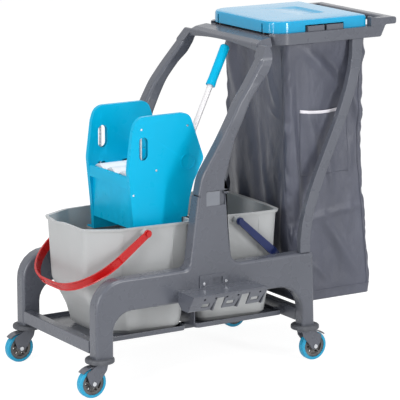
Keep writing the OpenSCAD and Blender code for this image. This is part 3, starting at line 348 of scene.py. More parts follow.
def copyOfNode(node, name):
    pick(frame["nodes"][node])
    bpy.ops.object.duplicate()
    piece = bpy.context.active_object
    piece.parent = None
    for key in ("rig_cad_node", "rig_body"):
        del piece[key]
    piece.name = piece.data.name = name
    piece.data.materials.clear()
    if piece.data.has_custom_normals:
        bpy.ops.mesh.customdata_custom_splitnormals_clear()
    editing(piece)
    bpy.ops.mesh.remove_doubles(threshold=meshLook["merge"])
    bpy.ops.mesh.dissolve_limited(angle_limit=math.radians(meshLook["flatAngle"]))
    closeEdit()
    return piece


def applyLast(piece):
    bpy.ops.object.modifier_apply(modifier=piece.modifiers[-1].name)


def roundEdges(piece, edge, steps, sharp):
    pick(piece)
    bpy.ops.object.shade_smooth_by_angle(angle=math.radians(sharp))
    bpy.ops.object.modifier_add(type="BEVEL")
    bevel = piece.modifiers[-1]
    bevel.width = edge
    bevel.segments = steps
    bevel.limit_method = "ANGLE"
    bevel.angle_limit = math.radians(sharp)
    bevel.miter_outer = "MITER_ARC"
    applyLast(piece)
    bpy.ops.object.shade_smooth_by_angle(angle=math.radians(sharp))
    bpy.ops.object.modifier_add(type="WEIGHTED_NORMAL")
    piece.modifiers[-1].keep_sharp = True
    piece.modifiers[-1].weight = meshLook["faceWeight"]
    applyLast(piece)


def softEdges(piece, width, steps, wanted):
    # Large round edges, bevelled in edit mode where the rule wants them
    editing(piece)
    bpy.ops.mesh.select_mode(type="EDGE")
    bpy.ops.mesh.select_all(action="DESELECT")
    closeEdit()
    mesh = piece.data
    corner = math.radians(meshLook["cornerAngle"])
    sides = {}
    for face in mesh.polygons:
        for key in face.edge_keys:
            sides.setdefault(key, []).append(face.normal.copy())
    for edge in mesh.edges:
        normals = sides.get(tuple(sorted(edge.vertices)), [])
        a, b = (mesh.vertices[k].co for k in edge.vertices)
        sharp = len(normals) == 2 and normals[0].angle(normals[1], 0) > corner
        edge.select = sharp and wanted(a, b)
    bpy.ops.object.mode_set(mode="EDIT")
    bpy.ops.mesh.bevel(offset=width, segments=steps, profile=0.5, clamp_overlap=False,
                       miter_outer="SHARP")
    bpy.ops.mesh.select_mode(type="VERT")
    closeEdit()


def finishPiece(piece, node, finish=None):
    # Gives a piece its finish, and the body and slot of the node that it belongs to
    piece.data.materials.clear()
    piece.data.materials.append(finish or finishes[slotOf[node]])
    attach(piece, bodyOf[node])
    return piece


def dress(node, look, shaping=None):
    # A copy of the CAD solid, with the round edges of a moulding
    words = node.split("_")
    name = words[0] + "".join(w.capitalize() for w in words[1:])
    piece = copyOfNode(node, name)
    if shaping:
        shaping(piece)
    roundEdges(piece, look["edge"], look["steps"], look["sharp"])
    finishPiece(piece, node, finish=look.get("finish"))
    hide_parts(node)
    return piece


def sliceAt(piece, axis, places):
    # Cuts the mesh across at each place, so that it can be shaped there
    editing(piece)
    normal = [0, 0, 0]
    normal["xyz".index(axis)] = 1
    for place in places:
        point = [place if n else 0 for n in normal]
        bpy.ops.mesh.select_all(action="SELECT")
        bpy.ops.mesh.bisect(plane_co=point, plane_no=normal)
    closeEdit()


def spread(low, high, count):
    return [low + (high - low) * i / (count - 1) for i in range(count)]


def smooth(value, low, high):
    t = min(1.0, max(0.0, (value - low) / (high - low)))
    return t * t * (3 - 2 * t)


def shapeBy(piece, rule):
    for vertex in piece.data.vertices:
        vertex.co = rule(vertex.co.copy())
    piece.data.update()


def meshPiece(name, points, faces, cloth):
    mesh = bpy.data.meshes.new(name)
    mesh.from_pydata([tuple(p) for p in points], [], faces)
    piece = bpy.data.objects.new(name, mesh)
    bpy.context.scene.collection.objects.link(piece)
    layer = mesh.uv_layers.new(name="cloth")
    spots = [cloth[v] for face in mesh.polygons for v in face.vertices]
    layer.data.foreach_set("uv", np.array(spots, np.float32).ravel())
    pick(piece)
    bpy.ops.object.shade_smooth()
    return piece


def pivotOf(body):
    # Where the joint that carries this body turns
    joint = next(j for j in record["behaviour"]["joints"] if j["child"] == body)
    return Vector(joint["pos_m"])


def outwards(piece):
    editing(piece)
    bpy.ops.mesh.normals_make_consistent(inside=False)
    closeEdit()


def thicken(piece, thickness, side):
    pick(piece)
    bpy.ops.object.modifier_add(type="SOLIDIFY")
    wall = piece.modifiers[-1]
    wall.thickness = thickness
    wall.offset = side
    applyLast(piece)


def tube(name, path, tall, thick, across, closed=False, sides=10):
    # A seam, tape or rib: an oval swept along the path, thick the way that across points
    path, across = np.array(path), np.array(across)
    if closed:
        along = np.roll(path, -1, 0) - np.roll(path, 1, 0)
    else:
        along = np.gradient(path, axis=0)
    along /= np.linalg.norm(along, axis=1)[:, None]
    up = np.cross(along, across)
    up /= np.linalg.norm(up, axis=1)[:, None]
    turn = np.linspace(0, 2 * np.pi, sides, endpoint=False)
    rows = [p + up[k] * tall * math.cos(t) + across[k] * thick * math.sin(t)
            for k, p in enumerate(path) for t in turn]
    faces, count = [], len(path)
    for k in range(count if closed else count - 1):
        a, b = k * sides, ((k + 1) % count) * sides
        faces += [(a + i, b + i, b + (i + 1) % sides, a + (i + 1) % sides) for i in range(sides)]
    if not closed:
        faces += [tuple(range(sides))[::-1], tuple(range((count - 1) * sides, count * sides))]
    length = np.concatenate([[0], np.cumsum(np.linalg.norm(np.diff(path, axis=0), axis=1))])
    cloth = [(length[k], t * 2 * mm) for k in range(count) for t in turn]
    piece = meshPiece(name, rows, faces, cloth)
    outwards(piece)
    return piece


mouldings = {"edge": 0.7 * mm, "steps": 2, "sharp": 34, "soft": 9 * mm, "softSteps": 5, "face": 0.6 * mm,
             "clear": 6 * mm, "tip": 40 * mm, "foot": 4 * mm}
fittings = [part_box(node) for node in ("column_latches", "rack_screws")]


def softMoulding(node):
    low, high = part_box(node)
    ends = (low.z, high.z)

    def wanted(a, b):
        # Along the two broad faces, away from the seam, the screws and the latch
        near = any(all(abs(p.y - y) < mouldings["face"] for p in (a, b)) for y in (low.y, high.y))
        if node.startswith("arm"):
            # An arm has round edges all round its length, but not at its two ends
            near = (max(a.x, b.x) < high.x - mouldings["tip"]
                    and min(a.z, b.z) > low.z + mouldings["foot"])
        flat = any(all(abs(p.z - z) < mouldings["face"] for p in (a, b)) for z in ends)
        held = any(all(lo[k] - mouldings["clear"] < p[k] < hi[k] + mouldings["clear"] for k in (0, 2))
                   for lo, hi in fittings for p in (a, b))
        return near and not flat and not held

    def shaping(piece):
        softEdges(piece, mouldings["soft"], mouldings["softSteps"], wanted)

    dress(node, mouldings, shaping)


for node in ("side_frame_left", "side_frame_right", "arm_left", "arm_right"):
    softMoulding(node)
crossParts = {"edge": 2.5 * mm, "steps": 3, "sharp": 34}
for node in ("front_cross_beam", "rear_cross_beam", "base_rails", "strut_left", "strut_right"):
    dress(node, crossParts)
trays = {"edge": 1.5 * mm, "steps": 2, "sharp": 34}
for node in ("front_tray", "rear_tray"):
    dress(node, trays)
yoke = {"edge": 2.5 * mm, "steps": 3, "sharp": 34}
dress("top_yoke", yoke)
ring = {"edge": 2.0 * mm, "steps": 3, "sharp": 34}
dress("bag_ring", ring)
smallMouldings = {"edge": 1.0 * mm, "steps": 2, "sharp": 34}
for node in ("column_latches", "bag_clips", "bumper_discs"):
    dress(node, smallMouldings)
rack = {"edge": 2.2 * mm, "steps": 3, "sharp": 34}
dress("tool_rack", rack)
smallSteel = {"edge": 0.5 * mm, "steps": 2, "sharp": 34}
for node in ("lid_pin", "rack_screws", "swivel_races"):
    dress(node, smallSteel)
note("chassis dressed")


# Glossy cyan for the lid, darker than the covers' cyan: a painted shade of the same plastic
glossyCyanPaintedShade = moulded("lidPlasticPaintedShade", {
    "colour": (0, 150, 196), "rough": 0.14, "shine": 0.4, "coat": 0.15, "rubbed": 30, "mottle": 0.04,
    "grain": 0.05, "dust": 0.0, "wear": 0.2, "scuffs": 0.05})
lidLook = {"edge": 2.2 * mm, "steps": 4, "sharp": 40, "finish": glossyCyanPaintedShade, "skin": 8 * mm,
           "scoopFront": 0.415, "scoopBack": 0.535, "scoopHalf": 0.085, "scoopDeep": 5 * mm,
           "frontCuts": 30, "sideCuts": 24, "beyond": 20 * mm, "aside": 30 * mm,
           "level": 12 * mm, "steep": 10 * mm, "ease": 25 * mm}


def scoopLid(piece):
    # A shallow finger scoop in the top, steep at its rear
    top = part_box("lid")[1].z
    front, back, half = lidLook["scoopFront"], lidLook["scoopBack"], lidLook["scoopHalf"]
    beyond, aside = lidLook["beyond"], lidLook["aside"]
    sliceAt(piece, "x", spread(front - beyond, back + beyond, lidLook["frontCuts"]))
    sliceAt(piece, "y", spread(-half - aside, half + aside, lidLook["sideCuts"]))

    def rule(p):
        if p.z < top - lidLook["skin"]:
            return p
        along = smooth(p.x, front, back - lidLook["level"])
        along *= 1 - smooth(p.x, back - lidLook["steep"], back)
        side = 1 - smooth(abs(p.y), half - lidLook["ease"], half)
        p.z -= lidLook["scoopDeep"] * along * side
        return p

    shapeBy(piece, rule)


dress("lid", lidLook, scoopLid)
note("lid shaped")


bucketLook = {"edge": 1.6 * mm, "steps": 3, "sharp": 34, "knee": 0.283, "drawn": 34 * mm,
              "drawnFrom": 0.2, "drawnTo": 0.33, "straight": 20 * mm,
              "frontCuts": (0.26, 0.235, 0.205, 0.17, 0.14), "spoutCuts": (-0.03, 0.14, 14),
              "spoutAt": 0.055, "spoutWide": 0.032, "spoutDeep": 6 * mm, "spoutFrom": 35 * mm,
              "spoutFull": 12 * mm, "spoutReach": 40 * mm,
              "ribThick": 0.7 * mm, "ribSunk": 0.2 * mm, "ribTop": 0.466, "ribFoot": 0.30, "ribPoints": 16,
              "ribs": {"front_bucket": (-0.246, -0.081), "rear_bucket": (0.228,)}}


def shapeFront(piece):
    # Lower front wall drawn in, and a shallow pouring lip in the front rim
    low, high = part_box("front_bucket")
    knee, lip = bucketLook["knee"], high.z - bucketLook["spoutFrom"]
    sliceAt(piece, "z", bucketLook["frontCuts"])
    sliceAt(piece, "y", spread(*bucketLook["spoutCuts"]))

    def rule(p):
        if p.z < knee:
            t = min(1.0, (knee - p.z) / (knee - low.z - bucketLook["straight"]))
            front = smooth(-p.x, bucketLook["drawnFrom"], bucketLook["drawnTo"])
            p.x += bucketLook["drawn"] * math.sin(t * math.pi / 2) * front
        elif p.z > lip and p.x < low.x + bucketLook["spoutReach"]:
            dip = math.exp(-((p.y - bucketLook["spoutAt"]) / bucketLook["spoutWide"]) ** 2)
            p.z -= bucketLook["spoutDeep"] * dip * smooth(p.z, lip, high.z - bucketLook["spoutFull"])
        return p

    shapeBy(piece, rule)


def wallLine(piece, node, x):
    # A fine raised line down the near wall
    path = []
    for z in spread(bucketLook["ribTop"], bucketLook["ribFoot"], bucketLook["ribPoints"]):
        hit, place, normal, face = piece.ray_cast(Vector((x, cadBox[0][1], z)), Vector((0, 1, 0)))
        if hit:
            path.append((place.x, place.y - bucketLook["ribSunk"], place.z))
    thick = bucketLook["ribThick"]
    line = tube(piece.name + "Line%d" % round(x * 1000), path, thick, thick,
                np.repeat([[0.0, -1.0, 0.0]], len(path), 0))
    finishPiece(line, node)


buckets = {"front_bucket": dress("front_bucket", bucketLook, shapeFront),
           "rear_bucket": dress("rear_bucket", bucketLook)}
for node, bucket in buckets.items():
    for x in bucketLook["ribs"][node]:
        wallLine(bucket, node, x)

bailLook = {"edge": 0.9 * mm, "steps": 2, "sharp": 34, "groove": 3.4 * mm, "deep": 2.6 * mm,
            "grooveFrom": 0.03, "middle": 0.09, "square": 0.4, "outer": 0.2,
            "deepStart": 0.02, "deepFrom": 0.16, "deepen": 0.3,
            "cap": 9 * mm, "capThick": 2.6 * mm, "capGap": 0.3 * mm, "capSides": 40, "capSteps": 3,
            "ribLong": 18 * mm, "ribThick": 1.3 * mm, "ribFlat": 1.6, "ribLift": 0.6 * mm, "ribFrom": 0.03}
ribs = []


def channel(node):
    # The band is a channel that is open on its outer side
    def shaping(piece):
        pivot = pivotOf(bodyOf[node])
        low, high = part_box(node)
        end = high.x if high.x - pivot.x > pivot.x - low.x else low.x
        reach = Vector((end - pivot.x, 0, low.z - pivot.z)).normalized()
        across = reach.cross(Vector((0, 1, 0)))

        def widen(p):
            # The band grows deeper towards its middle
            out = p - pivot
            share = smooth(out.dot(reach), bailLook["deepStart"], bailLook["deepFrom"])
            return p + across * out.dot(across) * share * bailLook["deepen"]

        shapeBy(piece, widen)
        editing(piece)
        bpy.ops.mesh.select_mode(type="FACE")
        bpy.ops.mesh.select_all(action="DESELECT")
        closeEdit()
        for face in piece.data.polygons:
            out = face.center - pivot
            away = (out - reach * bailLook["middle"]).normalized()
            face.select = (out.dot(reach) > bailLook["grooveFrom"]
                           and abs(face.normal.dot(across)) < bailLook["square"]
                           and face.normal.dot(away) > bailLook["outer"])
        bpy.ops.object.mode_set(mode="EDIT")
        bpy.ops.mesh.inset(thickness=bailLook["groove"], depth=-bailLook["deep"], use_even_offset=True)
        closeEdit()
        half = across * bailLook["ribLong"] / 2
        for face in piece.data.polygons:
            if face.select and face.center.y > bailLook["ribFrom"] and node == "front_bail":
                lift = face.normal * bailLook["ribLift"]
                ribs.append((face.center - half + lift, face.center + half + lift, face.normal.copy()))
        editing(piece)
        bpy.ops.mesh.select_mode(type="VERT")
        closeEdit()

    dress(node, bailLook, shaping)


def bailCap(node, bucket, side):
    # Closed end of the bail over its stud
    low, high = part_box(bucket)
    pivot = pivotOf(bodyOf[node])
    thick = bailLook["capThick"]
    y = (high.y if side > 0 else low.y) + side * (thick / 2 + bailLook["capGap"])
    bpy.ops.object.select_all(action="DESELECT")
    bpy.ops.mesh.primitive_cylinder_add(vertices=bailLook["capSides"], radius=bailLook["cap"], depth=thick,
                                        location=(pivot.x, y, pivot.z), rotation=(math.pi / 2, 0, 0))
    cap = bpy.context.active_object
    cap.name = node.split("_")[0] + "BailCap" + ("Right" if side > 0 else "Left")
    bpy.ops.object.transform_apply(location=True, rotation=True, scale=True)
    roundEdges(cap, bailLook["edge"], bailLook["capSteps"], bailLook["sharp"])
    finishPiece(cap, node)


for node, bucket in (("front_bail", "front_bucket"), ("rear_bail", "rear_bucket")):
    channel(node)
    for side in (-1, 1):
        bailCap(node, bucket, side)
for index, (start, stop, away) in enumerate(ribs):
    rib = tube("bailRib%02d" % index, [start, stop], bailLook["ribThick"],
               bailLook["ribThick"] * bailLook["ribFlat"], [away, away])
    finishPiece(rib, "front_bail")
note("buckets dressed")


coverLook = {"edge": 5.5 * mm, "steps": 5, "sharp": 40}
for node in ("wringer_cover_left", "wringer_cover_right"):
    dress(node, coverLook)
basketLook = {"edge": 2.0 * mm, "steps": 3, "sharp": 34}
dress("wringer_frame", basketLook)
turnedSteel = {"edge": 0.5 * mm, "steps": 2, "sharp": 34}
for node in ("cover_screws", "guide_rods", "lever_shaft"):
    dress(node, turnedSteel)
toothLook = {"edge": 0.4 * mm, "steps": 1, "sharp": 40}
for node in ("press_racks", "gear_sectors"):
    dress(node, toothLook)

plateLook = {"edge": 0.8 * mm, "steps": 2, "sharp": 50, "waves": 3.5, "deep": 13 * mm, "level": 0.8,
             "cuts": 60, "inset": 2 * mm, "skin": 3 * mm}


def wavePlate(piece):
    # The press plate's top edge runs in waves from side to side
    low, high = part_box("press_plate")
    inset = plateLook["inset"]
    sliceAt(piece, "y", spread(low.y + inset, high.y - inset, plateLook["cuts"]))

    def rule(p):
        if p.z > high.z - plateLook["skin"]:
            turn = (p.y - low.y) / (high.y - low.y) * plateLook["waves"] * 2 * math.pi
            p.z += plateLook["deep"] * (math.cos(turn) - plateLook["level"]) / 2
        return p

    shapeBy(piece, rule)


dress("press_plate", plateLook, wavePlate)
leverLook = {"edge": 1.5 * mm, "steps": 3, "sharp": 34}
for node in ("lever_hub", "lever_grip"):
    dress(node, leverLook)
leverTube = {"edge": 0.5 * mm, "steps": 1, "sharp": 34}
dress("lever_tube", leverTube)
note("wringer dressed")


casterLooks = {
    "fork": {"edge": 1.2 * mm, "steps": 2, "sharp": 34},
    "axle": {"edge": 0.5 * mm, "steps": 2, "sharp": 34},
    "hub": {"edge": 0.8 * mm, "steps": 2, "sharp": 34, "wallFrom": 29 * mm, "wallTo": 33 * mm,
            "radius": 35.0 * mm},
    "tyre": {"edge": 2.5 * mm, "steps": 4, "sharp": 34, "wallFrom": 29 * mm, "wallTo": 34 * mm,
             "radius": 35.4 * mm},
}
spokeLook = {"edge": 0.8 * mm, "steps": 2, "sharp": 34, "count": 5, "first": 0.3, "from": 13.5 * mm,
             "to": 26.5 * mm, "wide": 4.5 * mm, "tall": 6.6 * mm, "aside": 7.4 * mm}


def fitRadius(centre, look):
    # Moves the wall that lies between two radii to a new one
    def rule(p):
        out = Vector((p.x - centre.x, 0, p.z - centre.z))
        if look["wallFrom"] < out.length < look["wallTo"]:
            out = out.normalized() * look["radius"]
            p.x, p.z = centre.x + out.x, centre.z + out.z
        return p

    return lambda piece: shapeBy(piece, rule)


def firstSpoke():
    # One spoke at the origin, along X, that the others are copied from
    bpy.ops.object.select_all(action="DESELECT")
    bpy.ops.mesh.primitive_cube_add(size=1)
    spoke = bpy.context.active_object
    spoke.scale = (spokeLook["to"] - spokeLook["from"], spokeLook["tall"], spokeLook["wide"])
    bpy.ops.object.transform_apply(location=True, rotation=True, scale=True)
    roundEdges(spoke, spokeLook["edge"], spokeLook["steps"], spokeLook["sharp"])
    return spoke


def spokeWheel(corner, centre, pattern):
    # Spokes stand in the hub's recess on both sides of its web
    middle = (spokeLook["from"] + spokeLook["to"]) / 2
    for index in range(spokeLook["count"]):
        angle = 2 * math.pi * (index + spokeLook["first"]) / spokeLook["count"]
        for side in (-1, 1):
            out = Vector((math.cos(angle) * middle, side * spokeLook["aside"], math.sin(angle) * middle))
            pick(pattern)
            bpy.ops.object.duplicate()
            spoke = bpy.context.active_object
            spoke.data.transform(Matrix.Translation(centre + out) @ Matrix.Rotation(-angle, 4, "Y"))
            spoke.name = "%sSpoke%d%s" % (corner.replace("_", ""), index, "ab"[side > 0])
            finishPiece(spoke, corner + "_hub")


pattern = firstSpoke()
for corner in ("front_left", "front_right", "rear_left", "rear_right"):
    centre = pivotOf(corner + "_wheel")
    for part, look in casterLooks.items():
        dress(corner + "_" + part, look, fitRadius(centre, look) if "radius" in look else None)
    spokeWheel(corner, centre, pattern)
pick(pattern)
bpy.ops.object.delete()
note("casters dressed")


bagLook = {
    # height, front, back, half width and corner radius of the sewn bag, from its mouth down
    "levels": [(0.9934, 0.322, 0.628, 0.175, 0.022), (0.8, 0.326, 0.622, 0.176, 0.023),
               (0.599, 0.331, 0.618, 0.177, 0.020), (0.336, 0.352, 0.642, 0.179, 0.016),
               (0.215, 0.371, 0.653, 0.180, 0.016), (0.190, 0.377, 0.653, 0.178, 0.018),
               (0.1725, 0.379, 0.652, 0.1775, 0.016)],
    "sideSteps": (60, 50, 60, 50), "cornerSteps": 8, "down": 122, "closeFrom": 0.93, "closeAt": 0.215,
    "cloth": 1.2 * mm, "fullness": 1.7, "ripple": 9 * mm, "rippleTurns": 27, "rippleAround": 0.37,
    "small": 1.7 * mm, "smallTurns": (14, 14, 7), "smallRough": 0.7, "smallFiner": 2.2, "smallLayers": 4,
    "foldEnd": 0.08, "foldFade": 0.6,
    "hangIn": 4 * mm, "hangTop": 0.99, "hangTall": 0.45, "belly": 3 * mm, "bellyAt": 0.33,
    "bellyTall": 0.09, "hem": 0.9934, "hemTall": 0.05, "footAt": 0.165, "footTall": 0.03, "footEase": 0.25,
    # what each row of the bottom is of the rim, from the rim inwards, and how far the middle sags
    "bottom": (0.85, 0.65, 0.45, 0.25, 0.08), "sag": 4 * mm,
    # folds on each face: from and to, along the face and up, half width, and height in mm
    "near": [((0.385, 0.985), (0.540, 0.825), 0.018, 6.0), ((0.435, 0.985), (0.570, 0.860), 0.016, -4.0),
             ((0.410, 0.760), (0.452, 0.600), 0.016, 4.5), ((0.346, 0.830), (0.384, 0.380), 0.014, 5.0),
             ((0.366, 0.930), (0.400, 0.420), 0.016, -3.0), ((0.577, 0.830), (0.602, 0.735), 0.013, 5.0),
             ((0.487, 0.630), (0.498, 0.520), 0.012, 4.5), ((0.420, 0.434), (0.520, 0.452), 0.010, 3.5),
             ((0.520, 0.452), (0.615, 0.462), 0.010, 3.5), ((0.568, 0.670), (0.568, 0.570), 0.012, 3.5),
             ((0.568, 0.480), (0.560, 0.390), 0.012, 3.5), ((0.466, 0.440), (0.592, 0.250), 0.016, 5.0),
             ((0.436, 0.285), (0.482, 0.243), 0.011, 3.0), ((0.505, 0.980), (0.540, 0.600), 0.05, -5.0),
             ((0.470, 0.400), (0.520, 0.220), 0.04, -4.0)],
    "front": [((0.150, 0.960), (0.100, 0.790), 0.028, 6.0), ((0.045, 0.820), (-0.030, 0.540), 0.034, -9.0),
              ((-0.005, 0.740), (-0.055, 0.480), 0.018, 6.5), ((-0.070, 0.910), (-0.118, 0.795), 0.013, 5.0),
              ((-0.080, 0.782), (-0.128, 0.760), 0.009, 4.0), ((-0.150, 0.520), (-0.128, 0.330), 0.013, 5.0),
              ((0.110, 0.700), (0.090, 0.300), 0.03, 5.0), ((0.060, 0.500), (0.030, 0.230), 0.02, -5.0)],
    "far": [((0.400, 0.985), (0.520, 0.800), 0.02, 5.5), ((0.560, 0.960), (0.470, 0.640), 0.022, 4.5),
            ((0.370, 0.800), (0.410, 0.380), 0.016, 5.0), ((0.560, 0.600), (0.470, 0.300), 0.018, 5.0),
            ((0.450, 0.900), (0.500, 0.500), 0.05, -5.0), ((0.420, 0.300), (0.560, 0.260), 0.012, 3.0)],
    "back": [((-0.120, 0.980), (-0.050, 0.720), 0.02, 5.5), ((0.130, 0.980), (0.060, 0.700), 0.02, 5.5),
             ((0.000, 0.900), (0.010, 0.450), 0.05, -6.0), ((-0.110, 0.560), (-0.030, 0.280), 0.016, 5.0),
             ((0.110, 0.520), (0.080, 0.240), 0.014, 4.5), ((-0.140, 0.400), (0.100, 0.420), 0.012, 3.5)],
}


def foldAt(along, up, folds):
    # Height of all folds together, each a soft ridge along its line that fades at both ends
    total = np.zeros_like(along)
    for (a0, z0), (a1, z1), width, height in folds:
        line = np.array([a1 - a0, z1 - z0])
        t = ((along - a0) * line[0] + (up - z0) * line[1]) / (line @ line)
        inside = np.clip(t, 0, 1)
        gap = np.hypot(along - a0 - inside * line[0], up - z0 - inside * line[1])
        start = bagLook["foldEnd"]
        fade = np.sin(np.pi * (start + (1 - 2 * start) * inside)) ** bagLook["foldFade"]
        total += bagLook["fullness"] * height * mm * np.exp(-(gap / width) ** 2) * fade
    return total


def bagGrid():
    table = np.array(bagLook["levels"])
    height = np.interp(np.linspace(0, 1, bagLook["down"]), [0, bagLook["closeFrom"], 1],
                       [table[0, 0], bagLook["closeAt"], table[-1, 0]])
    front, back, half, corner = [np.interp(-height, -table[:, 0], table[:, k]) for k in (1, 2, 3, 4)]
    columns, steps = [], bagLook["cornerSteps"]
    # each column: which corner its line leans on, how far to the next one, and the way it faces
    sides = [((0, 0), (1, 0), -90), ((1, 0), (1, 1), 0), ((1, 1), (0, 1), 90), ((0, 1), (0, 0), 180)]
    for count, (a, b, facing) in zip(bagLook["sideSteps"], sides):
        columns += [(a, b, i / count, facing) for i in range(count)]
        columns += [(b, b, 0, facing + 90 * i / steps) for i in range(steps)]
    points = np.zeros((len(height), len(columns), 3))
    facing = np.zeros((len(columns), 2))
    for i, (a, b, t, angle) in enumerate(columns):
        away = np.array([math.cos(math.radians(angle)), math.sin(math.radians(angle))])
        facing[i] = away
        ends = []
        for cx, cy in (a, b):
            ends.append((np.where(cx, back - corner, front + corner), (half - corner) * (1 if cy else -1)))
        points[:, i, 0] = ends[0][0] * (1 - t) + ends[1][0] * t + corner * away[0]
        points[:, i, 1] = ends[0][1] * (1 - t) + ends[1][1] * t + corner * away[1]
        points[:, i, 2] = height
    x, y, z = points[..., 0], points[..., 1], points[..., 2]
    fx, fy = facing[:, 0][None, :], facing[:, 1][None, :]
    push = foldAt(x, z, bagLook["near"]) * np.clip(-fy, 0, 1) ** 2
    push += foldAt(x, z, bagLook["far"]) * np.clip(fy, 0, 1) ** 2
    push += foldAt(y, z, bagLook["front"]) * np.clip(-fx, 0, 1) ** 2
    push += foldAt(y, z, bagLook["back"]) * np.clip(fx, 0, 1) ** 2
    # the corners run in small waves from mouth to foot, and the cloth is creased all over
    edge = np.abs(fx * fy) * 2
    turns, around = bagLook["rippleTurns"], bagLook["rippleAround"] * (fx[0] * 3 + fy[0] * 5)
    ripple = [[noise.noise(Vector((k, up * turns, 2.7))) for k in around] for up in height]
    push += np.array(ripple) * bagLook["ripple"] * np.clip(edge, 0, 1)
    turns, rough, finer = bagLook["smallTurns"], bagLook["smallRough"], bagLook["smallFiner"]
    small = [[noise.fractal(Vector(p * turns), rough, finer, bagLook["smallLayers"]) for p in row]
             for row in points]
    push += np.array(small) * bagLook["small"]
    # the cloth hangs in a little between the corners and fills out low down
    flat = np.clip(1 - edge * 2, 0, 1)
    hang = np.sin(np.pi * np.clip((bagLook["hangTop"] - z) / bagLook["hangTall"], 0, 1)) * -bagLook["hangIn"]
    belly = np.exp(-((z - bagLook["bellyAt"]) / bagLook["bellyTall"]) ** 2) * bagLook["belly"]
    push += (hang + belly) * flat
    push *= np.clip((bagLook["hem"] - z) / bagLook["hemTall"], 0, 1)
    push *= np.clip((z - bagLook["footAt"]) / bagLook["footTall"], bagLook["footEase"], 1)
    points[..., 0] += push * fx
    points[..., 1] += push * fy
    return points, facing


points, facing = bagGrid()
rows, around = points.shape[:2]
faces = [(r + c, r + (c + 1) % around, r + around + (c + 1) % around, r + around + c)
         for r in range(0, (rows - 1) * around, around) for c in range(around)]
skin = [tuple(p) for p in points.reshape(-1, 3)]
halfway = points[rows // 2 - 1]
girth = np.concatenate([[0], np.cumsum(np.linalg.norm(np.diff(halfway, axis=0), axis=1))])
clothMap = [(girth[c], points[r, c, 2]) for r in range(rows) for c in range(around)]
base = points[-1]
centre = base.mean(0)
for step in bagLook["bottom"]:
    start = len(skin)
    sag = bagLook["sag"] * (1 - step ** 2)
    skin += [tuple(centre + (p - centre) * step - np.array([0, 0, sag])) for p in base]
    clothMap += [(p[0] * step, p[1] * step) for p in base]
    faces += [(start - around + c, start - around + (c + 1) % around, start + (c + 1) % around, start + c)
              for c in range(around)]
faces.append(tuple(range(len(skin) - around, len(skin))))
bag = meshPiece("wasteBag", skin, faces, clothMap)
outwards(bag)
thicken(bag, bagLook["cloth"], -1)
finishPiece(bag, "bag")
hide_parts("bag")
note("bag lofted")

outward = np.concatenate([facing, np.zeros((around, 1))], 1)
seamLook = {"radius": 1.5 * mm, "lift": 0.6 * mm, "rows": slice(3, -6, 2),
            "names": ("NearBack", "FarBack", "FarFront", "NearFront"),
            "lowRadius": 1.4 * mm, "lowLift": 0.5 * mm, "lowRow": -7}
column = 0
for count, name in zip(bagLook["sideSteps"], seamLook["names"]):
    column += count
    place = column % around
    # from just under the hem to just over the bottom seam
    path = points[seamLook["rows"], place] + outward[place] * seamLook["lift"]
    seam = tube("bagSeam" + name, path, seamLook["radius"], seamLook["radius"],
                np.repeat(outward[place][None], len(path), 0))
    finishPiece(seam, "bag")
    column += bagLook["cornerSteps"]
lowSeam = tube("bagSeamBottom", points[seamLook["lowRow"]] + outward * seamLook["lowLift"],
               seamLook["lowRadius"], seamLook["lowRadius"], outward, closed=True)
finishPiece(lowSeam, "bag")

pocketLook = {"front": 0.383, "back": 0.562, "top": 0.778, "bottom": 0.575, "across": 46, "down": 44,
              "gape": 5 * mm, "gapeRound": 0.6, "gapeFade": 1.5, "sag": 7 * mm, "wrinkle": 1.2 * mm,
              "wrinkleAcross": 30, "wrinkleDown": 12, "clear": 0.5 * mm,
              "cloth": 0.5 * mm, "tapeTall": 5.0 * mm, "tapeThick": 1.8 * mm, "tapeLift": 0.4 * mm}


def nearFace(x, z):
    # Where the near side of the bag lies at this place
    row = np.argmin(np.abs(points[:, 0, 2] - z))
    side = points[row, :bagLook["sideSteps"][0]]
    return float(np.interp(x, side[:, 0], side[:, 1]))


across, down = pocketLook["across"], pocketLook["down"]
spots, clothMap = [], []
for r in range(down):
    for c in range(across):
        s, t = c / (across - 1), r / (down - 1)
        middle = math.sin(math.pi * s)
        x = pocketLook["front"] + (pocketLook["back"] - pocketLook["front"]) * s
        droop = pocketLook["sag"] * middle * (1 - t)
        z = pocketLook["top"] - droop - (pocketLook["top"] - pocketLook["bottom"]) * t
        gape = middle ** pocketLook["gapeRound"] * (1 - t) ** pocketLook["gapeFade"] * pocketLook["gape"]
        spot = Vector((x * pocketLook["wrinkleAcross"], z * pocketLook["wrinkleDown"], 9.0))
        wrinkle = noise.noise(spot) * pocketLook["wrinkle"] * middle
        spots.append((x, nearFace(x, z) - pocketLook["clear"] - gape - abs(wrinkle), z))
        clothMap.append((x, z))
faces = [(r * across + c, (r + 1) * across + c, (r + 1) * across + c + 1, r * across + c + 1)
         for r in range(down - 1) for c in range(across - 1)]
pocket = meshPiece("bagPocket", spots, faces, clothMap)
thicken(pocket, pocketLook["cloth"], 0)
finishPiece(pocket, "bag")
hem = np.array(spots[:across]) - np.array([0, pocketLook["tapeLift"], 0])
tape = tube("pocketTape", hem, pocketLook["tapeTall"], pocketLook["tapeThick"],
            np.repeat([[0.0, -1.0, 0.0]], across, 0))
finishPiece(tape, "bag", finish=woven("whiteTape", {
    "colour": (226, 223, 230), "rough": 0.5, "sheen": 0.2, "threads": 2000, "crease": 0.12}))
note("bag pocket and seams made")


floorLook = {"size": 60, "white": 0.92, "rough": 0.9, "shadow": 0.3, "glow": 1.3}
bpy.ops.mesh.primitive_plane_add(size=floorLook["size"], location=(0, 0, 0))
floor = bpy.context.active_object
floor.name = "studioFloor"


